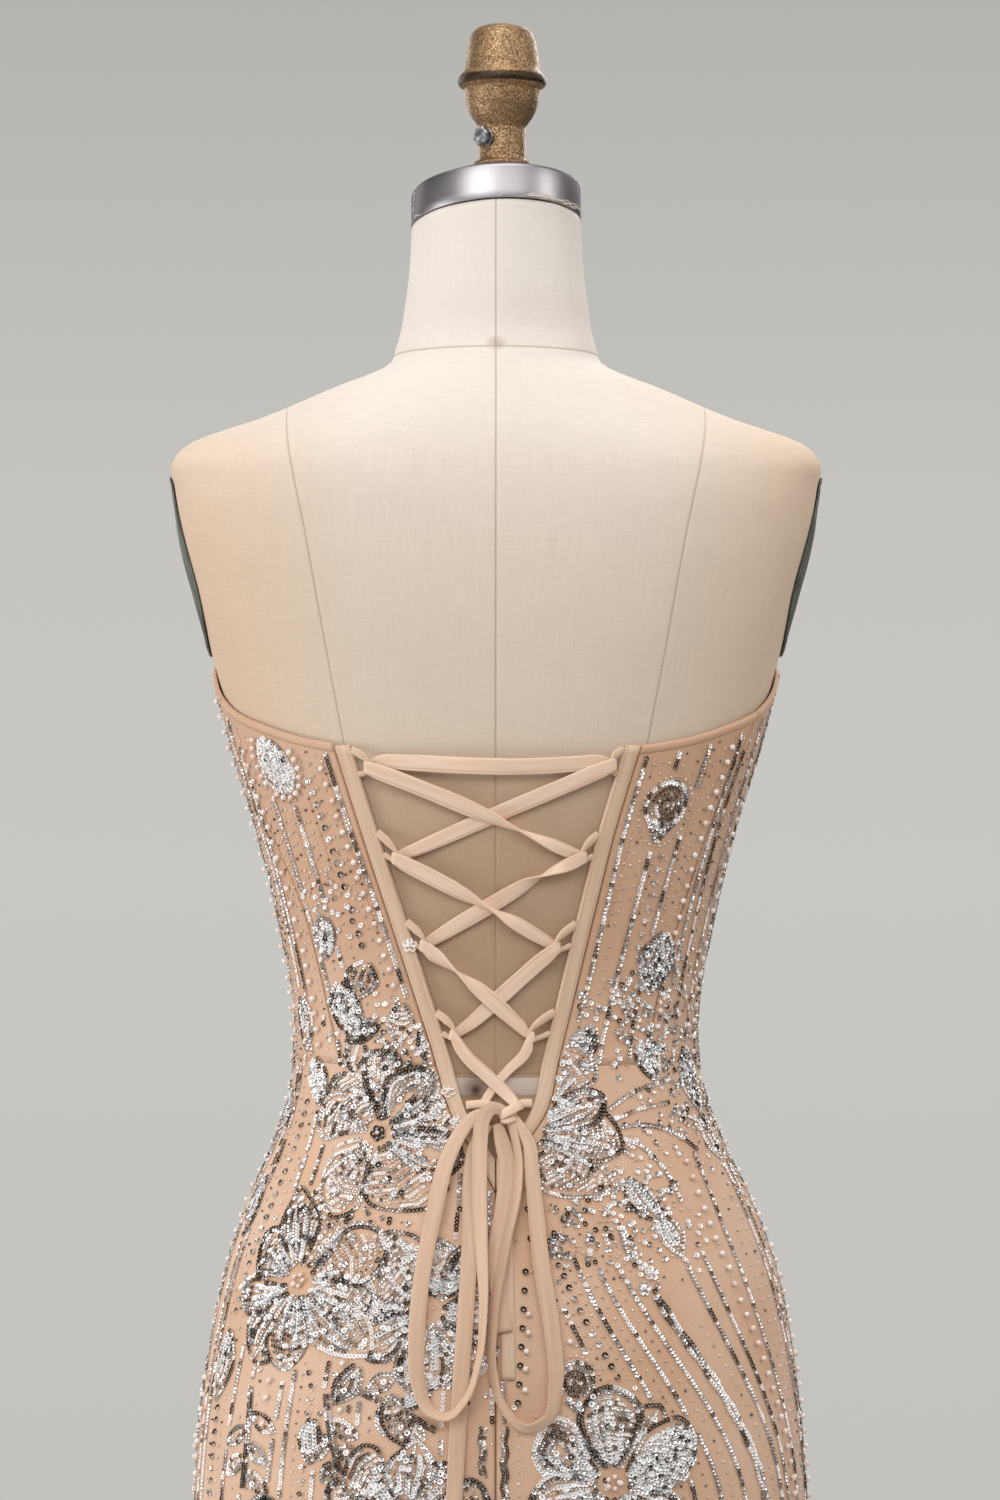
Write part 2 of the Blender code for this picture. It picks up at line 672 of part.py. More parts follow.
def stand(steel, paint):
    gap = 0.0006
    top = FORM_BOTTOM - 0.004 - gap
    turned("pole_flange", ((0.045, top - 0.006), (0.045, top)), (0, 0), steel)
    turned(
        "pole",
        ((POLE_RADIUS, BASE_THICK + COLLAR_HEIGHT + gap), (POLE_RADIUS, top - 0.006 - gap)),
        (0, 0),
        steel,
        segments=28,
    )
    turned(
        "pole_collar",
        (
            (0.034, BASE_THICK + gap),
            (0.034, BASE_THICK + 0.010),
            (0.024, BASE_THICK + 0.034),
            (POLE_RADIUS + 0.0045, BASE_THICK + COLLAR_HEIGHT),
        ),
        (0, 0),
        paint,
    )
    turned(
        "base_plate",
        (
            (BASE_RADIUS, 0),
            (BASE_RADIUS, BASE_THICK - 0.004),
            (BASE_RADIUS - 0.004, BASE_THICK),
        ),
        (0, 0),
        paint,
        segments=56,
    )


def main():
    for old in list(bpy.data.objects):
        bpy.data.objects.remove(old, do_unlink=True)

    tulle = material("beaded_tulle", (0.71, 0.45, 0.29), 0.75)
    satin = material("satin_tulle_binding", (0.78, 0.53, 0.36), 0.55)
    crepe = material("lace_ribbon", (0.83, 0.61, 0.43), 0.6)
    linen = material("linen", (0.83, 0.73, 0.60), 0.85)
    steel = material("brushed_steel", (0.55, 0.54, 0.54), 0.35, 1.0)
    bronze = material("cast_bronze", (0.42, 0.25, 0.10), 0.5, 1.0)
    zinc = material("zinc_plated_steel", (0.5, 0.5, 0.5), 0.4, 1.0)
    plastic = material("grey_plastic", (0.18, 0.19, 0.18), 0.6)
    paint = material("painted_iron", (0.30, 0.29, 0.28), 0.45)

    bodice(tulle)
    skirt(tulle)
    for side, word in ((-1, "left"), (1, "right")):
        binding(side, word, satin)
        arm_plate(side, word, plastic)
    zip_flap(satin)
    lace_loops(satin)
    lacing(crepe)
    bow(crepe)

    form_torso(linen)
    neck_cap(steel)
    turned("finial", FINIAL_PROFILE, (FINIAL_X, FINIAL_Y), bronze, segments=26)
    set_screw(zinc)
    stand(steel, paint)


main()
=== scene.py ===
"""Visual model of a strapless beaded dress, laced at the back, on a limbless linen dress form.

Metres, +Z up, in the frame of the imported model: the laced back faces -Y and +X is to the right of
someone who looks at it. One rule gives the body: a stack of level sections, each a rounded oval. A
place on the body is a turn, measured round from the middle of the back towards +X, and a height.
"""

import math

import bmesh
import bpy
import numpy as np
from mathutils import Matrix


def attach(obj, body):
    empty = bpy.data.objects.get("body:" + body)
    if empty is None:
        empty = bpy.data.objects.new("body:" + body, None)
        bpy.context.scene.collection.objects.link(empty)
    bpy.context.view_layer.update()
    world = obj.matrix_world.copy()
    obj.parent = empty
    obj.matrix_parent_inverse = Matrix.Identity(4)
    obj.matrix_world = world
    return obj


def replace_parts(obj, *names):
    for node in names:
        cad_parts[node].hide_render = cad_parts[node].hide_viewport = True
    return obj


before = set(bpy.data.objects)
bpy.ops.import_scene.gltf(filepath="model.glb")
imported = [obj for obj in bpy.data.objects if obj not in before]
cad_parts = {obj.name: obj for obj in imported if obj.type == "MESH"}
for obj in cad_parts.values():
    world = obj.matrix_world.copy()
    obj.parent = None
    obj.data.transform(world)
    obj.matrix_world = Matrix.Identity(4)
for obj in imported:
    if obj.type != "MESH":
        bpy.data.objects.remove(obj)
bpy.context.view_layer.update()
rng = np.random.default_rng(41)

# ---- camera ----

CAMERA_PLACE = (0.0024, -2.4, 1.22)
CAMERA_LENS = 96  # millimetres, on a 36 mm sensor


def camera():
    data = bpy.data.cameras.new("camera")
    data.lens = CAMERA_LENS
    data.sensor_width = 36
    made = bpy.data.objects.new("camera", data)
    made.location = CAMERA_PLACE
    made.rotation_euler = (math.pi / 2, 0, 0)
    bpy.context.scene.collection.objects.link(made)
    bpy.context.scene.camera = made


camera()

# ---- driving dimensions, the same as in the part's source ----

EASE = 0.0012  # between the linen and the inside of the dress
FRONT_EASE = 0.0014  # more of it in front, where the bodice bridges the bust
CLOTH = 0.002  # tulle, beading net and lining together
BINDING_CLOTH = 0.0026
SEAM_GAP = 0.0005
SEEN_GAP = 0.0002  # seams are stitched tight, so the edges that are seen all but meet
WAIST_GAP = 0.00005
HEM = 0.565
WAIST = 1.036
FORM_BOTTOM = 0.715
BINDING_WIDTH = 0.0094
APEX = 0.984  # lowest point of the open V
V_END = 0.964  # where the outer edges of its two bindings meet
LACE_WIDTH = 0.0094
LACE_THICK = 0.0013
NECK_CAP_HEIGHT = 0.022
NECK_CAP_RADIUS = 0.051
HARD_GAP = 0.0006  # between the neck's rim and the cap, and between the pieces of the stand
FINIAL_SEAT = 0.018
BRIM = (1.6196, 1.6262)  # the finial's brim
SCREW_HEIGHT = 1.5876
ARM_HEIGHT = 1.33
ARM_SIZE = (0.038, 0.054)  # half the plate's width, half its height
NECK_TOP = 1.5352
NECK_PITCH = 0.2
NECK_ROLL = 0.05
FINIAL_X = 0.0037
FINIAL_Y = 0.01
BASE_RADIUS = 0.22
BASE_THICK = 0.012
POLE_RADIUS = 0.016
COLLAR_HEIGHT = 0.038
SIDE_SEAM = 92
FRONT_SEAM = 149
BUST_HEIGHT = 1.222
BUST_APART = 0.08
BUST_WIDE = 0.052
BUST_TALL = 0.05
BUST_DEPTH = 0.032

# height, half width, depth behind, depth before, squareness, middle x, middle y, pitch, roll
FORM_SECTIONS = (
    (0.555, 0.168, 0.104, 0.098, 2.1, 0.0026, 0.0, 0.0, 0.0),
    (0.64, 0.176, 0.111, 0.103, 2.1, 0.0026, 0.0, 0.0, 0.0),
    (0.715, 0.18, 0.116, 0.107, 2.1, 0.0026, 0.0, 0.0, 0.0),
    (0.77, 0.18, 0.119, 0.109, 2.1, 0.0026, 0.0, 0.0, 0.0),
    (0.842, 0.1738, 0.12, 0.11, 2.1, 0.0026, 0.0, 0.0, 0.0),
    (0.878, 0.1682, 0.117, 0.109, 2.1, 0.003, 0.0, 0.0, 0.0),
    (0.914, 0.16, 0.111, 0.107, 2.12, 0.003, 0.0, 0.0, 0.0),
    (0.95, 0.1471, 0.102, 0.103, 2.15, 0.0022, 0.0, 0.0, 0.0),
    (0.986, 0.1303, 0.092, 0.096, 2.2, 0.0016, 0.0, 0.0, 0.0),
    (1.022, 0.1195, 0.083, 0.089, 2.2, 0.0006, 0.0, 0.0, 0.0),
    (1.045, 0.1172, 0.0795, 0.086, 2.2, 0.0, 0.0, 0.0, 0.0),
    (1.076, 0.119, 0.0785, 0.086, 2.2, 0.0, 0.0, 0.0, 0.0),
    (1.112, 0.1256, 0.081, 0.088, 2.2, 0.0, 0.0, 0.0, 0.0),
    (1.148, 0.1335, 0.085, 0.09, 2.25, 0.0, 0.0, 0.0, 0.0),
    (1.184, 0.1432, 0.089, 0.093, 2.3, 0.0, 0.0, 0.0, 0.0),
    (1.22, 0.1545, 0.0925, 0.096, 2.35, 0.0, 0.0, 0.0, 0.0),
    (1.256, 0.164, 0.095, 0.097, 2.45, 0.0, 0.0, 0.0, 0.0),
    (1.31, 0.179, 0.098, 0.095, 2.7, 0.0, 0.0, 0.0, 0.0),
    (1.346, 0.188, 0.0975, 0.09, 2.9, 0.0, 0.0, 0.0, 0.0),
    (1.376, 0.1918, 0.0945, 0.083, 3.0, 0.0, 0.0, 0.0, 0.0),
    (1.39, 0.194, 0.0915, 0.079, 2.8, 0.0, 0.0, 0.0, 0.0),
    (1.402, 0.1845, 0.0875, 0.075, 2.5, 0.0, 0.0, 0.0, 0.0),
    (1.418, 0.1412, 0.081, 0.069, 2.2, 0.0, 0.001, 0.0, 0.0),
    (1.436, 0.099, 0.071, 0.062, 2.1, 0.0, 0.002, 0.0, 0.0),
    (1.45, 0.0655, 0.0625, 0.058, 2.0, 0.0, 0.003, 0.01, 0.0),
    (1.462, 0.06, 0.0565, 0.0565, 2.0, 0.0, 0.004, 0.02, 0.0),
    (1.49, 0.0545, 0.053, 0.054, 2.0, 0.0, 0.006, 0.08, 0.01),
    (1.515, 0.0518, 0.051, 0.0515, 2.0, 0.0, 0.008, 0.15, 0.03),
    (1.536, 0.0507, 0.05, 0.05, 2.0, 0.0, 0.01, 0.2, 0.05),
)
# Upper edge of the dress: turn in degrees, height
NECKLINE = (
    (0, 1.2235), (33, 1.2235), (42, 1.2275), (55, 1.236), (67, 1.244), (77, 1.253), (90, 1.265),
    (108, 1.275), (130, 1.285), (150, 1.292), (167, 1.286), (180, 1.28),
)
# Side-back seams: height, turn in degrees on the left (-X) and on the right
SIDE_BACK_SEAM = (
    (1.03, 46.5, 45.0), (1.07, 52.5, 49.0), (1.135, 58.0, 54.5), (1.175, 65.0, 57.5), (1.22, 72.0, 62.0),
    (1.262, 77.0, 70.0),
)
# Inner edge of the V's bindings: height, x on the left and on the right
V_EDGE = (
    (APEX, -0.0012, 0.0012), (1.0086, -0.0162, 0.019), (1.041, -0.026, 0.0271), (1.1334, -0.0554, 0.0492),
    (1.1703, -0.0672, 0.0583), (1.2236, -0.0838, 0.0742),
)
# Fabric loops, in millimetres: side, upper and lower root height
LOOPS = (
    ("left_1", -1, 1219.5, 1206.5), ("left_2", -1, 1171.5, 1160.0), ("left_3", -1, 1119.5, 1108.0),
    ("left_4", -1, 1066.5, 1055.5), ("right_1", 1, 1219.5, 1206.5), ("right_2", 1, 1170.5, 1159.0),
    ("right_3", 1, 1118.5, 1107.0), ("right_4", 1, 1067.0, 1055.5),
)
ZIP_FLAP = ((0.861, 0.003, 0.0112), (0.905, 0.0026, 0.0106), (0.955, 0.0022, 0.0088))

# The lace's strands, each from the loop that it is folded over down to the next. Rows are x,
# height and distance off the linen in millimetres, then width in millimetres and twist in degrees.
STRANDS = {
    "bar": (
        (-73.4, 1210.6, 2.6, 6.6, 0), (-66.0, 1213.4, 3.6, 8.0, 0), (-50.0, 1213.2, 4.6, 9.2, -4),
        (-20.0, 1211.6, 5.2, 9.6, -5), (12.0, 1210.9, 5.0, 9.6, 4), (44.0, 1212.4, 4.2, 9.0, 0),
        (59.0, 1213.8, 3.4, 7.4, 0), (67.0, 1212.2, 2.6, 6.4, 0),
    ),
    "left_1": (
        (-73.4, 1210.6, 6.0, 7.6, 0), (-68.0, 1208.6, 5.8, 8.6, 0), (-42.0, 1198.2, 5.0, 9.4, 4),
        (-14.0, 1186.4, 4.8, 9.6, 10), (8.0, 1176.6, 4.7, 7.2, 62), (21.0, 1170.8, 4.3, 5.6, 118),
        (34.0, 1165.0, 3.6, 7.4, 168), (43.0, 1161.0, 2.9, 7.0, 180), (50.0, 1158.6, 2.4, 6.2, 180),
    ),
    "right_1": (
        (67.0, 1212.2, 6.0, 7.6, 0), (61.0, 1209.6, 5.4, 8.8, 0), (38.0, 1199.2, 3.4, 9.4, 0),
        (4.0, 1184.6, 2.1, 9.4, -4), (-28.0, 1170.6, 2.2, 9.0, 0), (-46.0, 1162.8, 2.6, 7.6, 0),
        (-57.4, 1158.0, 2.4, 6.4, 0),
    ),
    "left_2": (
        (-57.4, 1158.0, 6.0, 7.6, 0), (-51.0, 1154.6, 5.6, 8.8, 0), (-34.0, 1145.6, 4.8, 9.5, 4),
        (-14.0, 1134.8, 4.7, 8.4, 36), (-2.0, 1128.0, 4.7, 5.6, 92), (10.0, 1121.0, 4.5, 8.0, 156),
        (24.0, 1112.4, 3.4, 7.6, 180), (35.0, 1106.0, 2.4, 6.2, 180),
    ),
    "right_2": (
        (50.0, 1158.6, 6.0, 7.2, 0), (44.0, 1155.6, 5.4, 7.8, 0), (30.0, 1149.4, 3.6, 6.2, 70),
        (18.0, 1143.0, 2.4, 8.0, 156), (0.0, 1132.2, 2.1, 9.4, 180), (-24.0, 1117.8, 2.2, 8.8, 180),
        (-41.4, 1107.0, 2.4, 6.4, 180),
    ),
    "left_3": (
        (-41.4, 1107.0, 6.0, 7.4, 0), (-35.0, 1102.0, 5.6, 8.4, 0), (-27.0, 1095.6, 5.0, 6.8, 50),
        (-20.0, 1090.0, 4.8, 5.6, 100), (-11.0, 1082.6, 4.7, 8.2, 164), (2.0, 1071.0, 4.6, 9.2, 180),
        (13.0, 1060.6, 3.4, 7.4, 180), (20.4, 1053.6, 2.4, 6.0, 180),
    ),
    "right_3": (
        (35.0, 1106.0, 6.0, 7.2, 0), (29.0, 1101.2, 5.2, 8.6, 0), (14.0, 1087.4, 2.6, 9.2, 0),
        (-2.0, 1072.6, 2.2, 9.2, 6), (-15.0, 1061.0, 2.6, 7.4, 0), (-24.6, 1054.6, 2.4, 6.0, 0),
    ),
    "left_4": (
        (-24.6, 1054.6, 6.0, 6.6, 0), (-16.6, 1042.0, 5.6, 7.4, 0), (-3.2, 1029.2, 4.8, 7.6, 2),
        (7.8, 1018.4, 4.9, 7.0, 0), (11.4, 1013.8, 6.0, 5.4, 0),
    ),
    "right_4": (
        (20.4, 1053.6, 6.0, 6.4, 0), (15.6, 1042.4, 5.0, 6.4, 0), (8.6, 1035.6, 2.8, 5.8, 10),
        (0.4, 1026.4, 2.3, 5.4, 14), (-6.8, 1015.6, 3.2, 5.0, 0),
    ),
}
# The one lace's way through them, and whether it runs up or down each
LACE_WAY = (("right_4", -1), ("left_3", -1), ("right_2", -1), ("left_1", -1), ("bar", 1))
LACE_WAY += (("right_1", 1), ("left_2", 1), ("right_3", 1), ("left_4", 1))
KNOT = (8.2, 1008.6, 6.8)
KNOT_LEADS = (
    ("lace_lead_left", (-16.8, 1014.0, 3.4), (-6.5, 1014.4, 4.4), (3.0, 1011.4, 5.6)),
    ("lace_lead_right", (20.6, 1015.0, 3.4), (15.4, 1014.8, 4.8), (10.6, 1012.6, 6.8)),
)
# The bow. Rows are x, height, distance off the linen and width in millimetres, twist in degrees.
BOW_LEFT = (
    (-5.6, 1010.2, 6.2, 5.0, 0), (-12.2, 1006.6, 7.2, 7.4, 10), (-18.9, 998.8, 7.8, 8.8, 12),
    (-26.0, 984.8, 8.4, 9.6, 8), (-34.0, 952.6, 9.2, 9.6, 4), (-40.5, 918.0, 9.4, 9.6, 0),
    (-43.6, 880.0, 9.4, 9.4, -8), (-42.2, 858.0, 9.4, 8.8, -22), (-36.0, 843.5, 9.4, 7.6, -40),
    (-26.5, 840.8, 9.4, 7.0, -52), (-16.8, 850.0, 9.4, 7.0, -60), (-9.8, 870.0, 9.4, 7.6, -62),
    (-6.8, 904.0, 9.6, 8.6, -52), (-8.2, 938.0, 9.9, 9.0, -30), (-9.0, 970.0, 10.1, 9.0, -10),
    (-8.6, 994.0, 10.4, 8.8, 0), (-7.2, 1004.6, 10.9, 8.6, 6), (-2.0, 1011.2, 11.2, 7.8, 14),
    (3.6, 1009.8, 10.2, 6.2, 14), (6.6, 1006.8, 8.4, 4.6, 0),
)
BOW_RIGHT = (
    (8.2, 1005.2, 7.4, 4.4, 30), (10.2, 997.0, 7.4, 6.0, 50), (12.8, 983.0, 7.3, 6.4, 52),
    (12.2, 966.0, 7.3, 7.0, 46), (5.4, 936.0, 7.2, 8.0, 40), (-1.4, 895.0, 7.2, 7.6, 42),
    (-1.6, 866.0, 7.2, 7.0, 46), (4.6, 845.5, 7.2, 6.8, 44), (17.5, 834.2, 7.2, 6.8, 38),
    (28.6, 839.0, 7.2, 7.4, 26), (33.4, 858.0, 7.2, 8.8, 12), (31.4, 888.0, 7.2, 9.4, 4),
    (25.6, 924.0, 7.4, 9.6, 0), (22.0, 958.0, 8.6, 9.2, 0), (20.0, 978.0, 9.4, 8.4, 0),
    (18.6, 990.6, 9.6, 7.6, -8), (14.6, 999.2, 9.4, 6.4, -20), (10.2, 1006.2, 8.2, 4.8, -20),
)
TAIL_LONG = (
    (-4.6, 1003.0, 5.1, 6.0, 0), (-11.4, 990.0, 5.1, 8.6, 0), (-14.0, 974.0, 5.1, 9.2, 0),
    (-14.3, 946.0, 5.2, 9.5, 4), (-16.4, 904.0, 5.3, 9.6, 2), (-19.4, 862.0, 5.4, 9.6, -3),
    (-21.6, 825.0, 5.4, 9.6, 0), (-23.4, 791.0, 5.2, 9.6, 3), (-24.6, 752.0, 5.1, 9.6, 0),
)
TAIL_SHORT = (
    (1.0, 1003.0, 5.1, 6.0, 0), (3.6, 993.0, 5.1, 8.8, 0), (6.2, 981.0, 5.1, 9.4, 0),
    (4.0, 956.0, 5.1, 9.4, 6), (0.2, 932.0, 5.2, 9.4, 3), (1.6, 909.0, 5.3, 9.4, -4),
    (4.9, 887.5, 5.3, 9.4, 0),
)
# Cast finial, turned: radius, height
FINIAL_PROFILE = (
    (0.0176, 1.5716), (0.0176, 1.5738), (0.0148, 1.5746), (0.0141, 1.5754), (0.014, 1.5945),
    (0.0145, 1.5958), (0.016, 1.5978), (0.0182, 1.6008), (0.0204, 1.605), (0.0219, 1.6098), (0.0226, 1.6146),
    (0.0229, 1.6174), (0.0236, 1.6184), (0.0254, 1.6194), (0.0265, 1.621), (0.0268, 1.6228),
    (0.0262, 1.6248), (0.0248, 1.6268), (0.0232, 1.628), (0.0225, 1.6296), (0.0218, 1.636), (0.021, 1.642),
    (0.0199, 1.6475), (0.018, 1.6519), (0.015, 1.6545), (0.0105, 1.6562), (0.005, 1.6569), (0.002, 1.6571),
)

# ---- the body's surface ----


def read(table, at):
    """Every column after the first, at the places `at` of the first, on a smooth cubic."""
    rows = np.array(table, float)
    place = rows[:, 0]
    values = rows[:, 1:]
    slopes = np.gradient(values, place, axis=0)
    at = np.clip(np.asarray(at, float), place[0], place[-1])
    low = np.clip(np.searchsorted(place, at, side="right") - 1, 0, len(place) - 2)
    step = (place[low + 1] - place[low])[..., None]
    u = (at - place[low])[..., None] / step
    start = values[low] * (1 + 2 * u) * (1 - u) ** 2 + slopes[low] * step * u * (1 - u) ** 2
    end = values[low + 1] * u * u * (3 - 2 * u) + slopes[low + 1] * step * u * u * (u - 1)
    return np.moveaxis(start + end, -1, 0)


def unit(vectors):
    return vectors / np.maximum(np.linalg.norm(vectors, axis=-1, keepdims=True), 1e-12)


def skin(turn, height):
    """Points of the linen. The radius is that of a superellipse: the sine and the cosine of the
    turn, each raised to the squareness, sum to one; two bell curves add the bust in front."""
    turn, height = np.broadcast_arrays(np.asarray(turn, float), np.asarray(height, float))
    half, behind, before, square, aside, middle, pitch, roll = read(FORM_SECTIONS, height)
    s, c = np.sin(turn), np.cos(turn)
    reach = (np.abs(s) ** square + np.abs(c) ** square) ** (-1 / square)
    x = half * s * reach
    y = middle - np.where(c > 0, behind, before) * c * reach
    across = (np.abs(x) - BUST_APART) / BUST_WIDE
    up = (height - BUST_HEIGHT) / BUST_TALL
    y = y + BUST_DEPTH * np.exp(-(across**2) - up**2) * np.clip(-c * 1.5, 0, 1)
    z = height - pitch * (y - middle) + roll * x
    return np.stack((x + aside, y, z), -1)


def slopes(turn, height):
    """How far a point of the skin moves for each radian of turn, and for each metre of height."""
    small = 1e-3
    along = (skin(turn + small, height) - skin(turn - small, height)) / (2 * small)
    up = (skin(turn, height + small) - skin(turn, height - small)) / (2 * small)
    return along, up


def outward(turn, height):
    return unit(np.cross(*slopes(turn, height)))


def off_skin(turn, height, out):
    return skin(turn, height) + outward(turn, height) * np.asarray(out)[..., None]


def ease(turn):
    return EASE + FRONT_EASE * np.clip(-1.5 * np.cos(turn), 0, 1)


def turn_at(x, height):
    """The turn on the back half where the skin is at this x, found by halving."""
    x, height = np.broadcast_arrays(np.asarray(x, float), np.asarray(height, float))
    low = np.full(x.shape, -math.pi / 2)
    high = np.full(x.shape, math.pi / 2)
    for _ in range(30):
        middle = (low + high) / 2
        short = skin(middle, height)[..., 0] < x
        low = np.where(short, middle, low)
        high = np.where(short, high, middle)
    return (low + high) / 2


def neckline(turn):
    folded = np.abs((turn + math.pi) % (2 * math.pi) - math.pi)
    return read(NECKLINE, np.degrees(folded))[0]


def side_back(side):
    column = 0 if side < 0 else 1
    return lambda height: side * np.radians(read(SIDE_BACK_SEAM, height)[column])


def straight_seam(degrees):
    return lambda height: np.full(np.shape(height), math.radians(degrees))


def v_edge(side, height):
    return read(V_EDGE, height)[0 if side < 0 else 1]


def back_edge(side):
    """The edge of the back panels: beside the binding down to V_END, then the middle seam."""

    def edge(height):
        share = np.clip((height - V_END) / (APEX - V_END), 0, 1)
        inner = np.where(height > APEX, v_edge(side, height), side * 0.0012) * share
        return turn_at(inner + side * BINDING_WIDTH * share, height)

    return edge


# ---- materials ----


def colour(text):
    """sRGB hex to linear."""
    parts = np.array([int(text[i : i + 2], 16) for i in (1, 3, 5)]) / 255
    linear = np.where(parts <= 0.04045, parts / 12.92, ((parts + 0.055) / 1.055) ** 2.4)
    return (*linear.tolist(), 1)


def feed(node, inputs):
    """Gives sockets, by name or in their own order, each a value, a hex colour, or the output that
    feeds it. None leaves a socket as it is."""
    for socket, value in inputs.items() if isinstance(inputs, dict) else enumerate(inputs):
        if isinstance(value, bpy.types.NodeSocket):
            node.id_data.links.new(value, node.inputs[socket])
        elif value is not None:
            node.inputs[socket].default_value = colour(value) if isinstance(value, str) else value


def put(tree, kind, inputs=(), out=0, stops=(), **settings):
    """Adds a shader node with its settings and links. Returns its output `out`."""
    made = tree.nodes.new("ShaderNode" + kind)
    for key, value in settings.items():
        setattr(made, key, value)
    feed(made, inputs)
    if stops:
        ramp = made.color_ramp
        while len(ramp.elements) < len(stops):
            ramp.elements.new(0.5)
        for element, (place, value) in zip(ramp.elements, stops):
            element.position = place
            element.color = colour(value) if isinstance(value, str) else (value, value, value, 1)
    return made.outputs[out] if made.outputs else made


def finish_named(name, base, rough, metal=0.0, **sockets):
    """A material with its plain values on the shader. Returns it, its tree and its shader."""
    made = bpy.data.materials.new(name)
    made.use_nodes = True
    shader = made.node_tree.nodes["Principled BSDF"]
    feed(shader, {"Base Color": base, "Roughness": rough, "Metallic": metal})
    feed(shader, {key.replace("_", " "): value for key, value in sockets.items()})
    made.diffuse_color = colour(base)
    return made, made.node_tree, shader


# Settings of a Mix node: one colour laid over another by a share, or darkened by it
OVER = {"out": 2, "data_type": "RGBA"}
DARKEN = {**OVER, "blend_type": "MULTIPLY"}


def weave(tree, where, spacing, depth, normal=None):
    """Bump of two crossed sets of threads, `spacing` metres apart: a Wave texture's bands repeat
    every pi/10/scale."""
    wave = {"Vector": where, "Scale": math.pi / 10 / spacing, "Distortion": 1.2, "Detail": 1.0}
    wave["Detail Scale"] = 2.0
    sets = [put(tree, "TexWave", wave, "Fac", wave_type="BANDS", bands_direction=way) for way in "XY"]
    height = put(tree, "Math", sets, operation="MAXIMUM")
    return put(tree, "Bump", {"Height": height, "Strength": 0.6, "Distance": depth, "Normal": normal})


WAIST_TAPE = (1.025, 0.0049)  # the form's waist tape: its middle and half its width
TAPE_SEAM = 1.0322  # the seam just above it
# Stains on the canvas: centre, reach along each axis, colour, share at the middle
STAINS = (
    ((0.0004, -0.062, 1.4592), (0.008, 0.02, 0.0055), "#9A7B52", 0.75),
    ((-0.0112, -0.083, 1.0238), (0.0112, 0.03, 0.0112), "#6A4A34", 1.0),
    ((-0.0118, -0.083, 1.0226), (0.0034, 0.02, 0.0034), "#33231A", 0.8),
)
# The canvas's colour from the waist up to the neck with painted shade: palest at the top as if lit from
# above, and darker low down and below the dress's top edge, a painted shadow
CANVAS_WITH_PAINTED_SHADE = [(0.0, "#B4967A"), (0.3, "#BFA287"), (0.4, "#C9AD93"), (0.45, "#DFCDB9")]
CANVAS_WITH_PAINTED_SHADE += [(0.68, "#E3D4C4"), (0.84, "#E8DDD2"), (1.0, "#EBE2D9")]


def linen():
    """Plain-woven linen canvas, pulled tight and glued: matt, with painted shade over it: palest at the neck
    as if lit from above, warmer and darker towards the sides, and darker below the dress's top edge, a
    painted shadow. Threads are 0.5 mm in the cloth and drawn 1.3 mm apart so that they show."""
    made, tree, shader = finish_named("linen_canvas_natural", "#E6DACC", 0.9, Sheen_Weight=0.06)
    where, place = put(tree, "UVMap", uv_map="cloth"), put(tree, "TexCoord", out="Object")
    height = put(tree, "SeparateXYZ", (place,), "Z")
    # painted shade by height: palest at the neck, a painted shadow below the dress's top edge
    body = put(tree, "ValToRGB", (put(tree, "MapRange", (height, 1.0, 1.5)),), stops=CANVAS_WITH_PAINTED_SHADE)
    # painted shade: warmer and darker towards the sides, in soft uneven patches
    aside = put(tree, "Math", (height.node.outputs["X"],), operation="ABSOLUTE")
    patch = put(tree, "TexNoise", {"Vector": place, "Scale": 6.0, "Detail": 3.0})
    uneven = put(tree, "Math", (patch, 0.1, aside), operation="MULTIPLY_ADD")
    side_shade = put(tree, "MapRange", (uneven, 0.13, 0.25, None, 0.62))
    body = put(tree, "Mix", {0: side_shade, 6: body, 7: "#DDB58C"}, **OVER)
    # the waist tape is paler than the canvas, and rubbed
    tape = put(tree, "Math", (height, *WAIST_TAPE), operation="COMPARE")
    tape = put(tree, "MapRange", {"Value": tape, "To Max": 0.7})
    body = put(tree, "Mix", {0: tape, 6: body, 7: "#D9CCC2"}, **OVER)
    for centre, reach, tint, share in STAINS:
        middle = [-c / r for c, r in zip(centre, reach)]
        spread = {"Vector": place, "Location": middle, "Scale": [1 / r for r in reach]}
        spot = put(tree, "TexGradient", (put(tree, "Mapping", spread),), "Fac", gradient_type="SPHERICAL")
        there = put(tree, "MapRange", {"Value": spot, "To Max": share})
        body = put(tree, "Mix", {0: there, 6: body, 7: tint}, **OVER)
    # slubs: thicker threads here and there, long down the cloth or across it
    for scale in ((60.0, 900.0, 1.0), (900.0, 40.0, 1.0)):
        long = put(tree, "Mapping", {"Vector": where, "Scale": scale})
        slub = put(tree, "TexNoise", {"Vector": long, "Scale": 1.0, "Detail": 1.0})
        slub = put(tree, "MapRange", (slub, 0.3, 0.7, 0.955))
        body = put(tree, "Mix", {0: 1.0, 6: body, 7: slub}, **DARKEN)
    seam = put(tree, "Attribute", out="Fac", attribute_name="seam")
    near_seam = put(tree, "MapRange", (seam, 0.15, 0.75, 0.55, 0.0))
    body = put(tree, "Mix", {0: near_seam, 6: body, 7: "#A58C72"}, **OVER)
    feed(shader, {"Base Color": body, "Normal": weave(tree, where, 0.0013, 0.00013)})
    return made


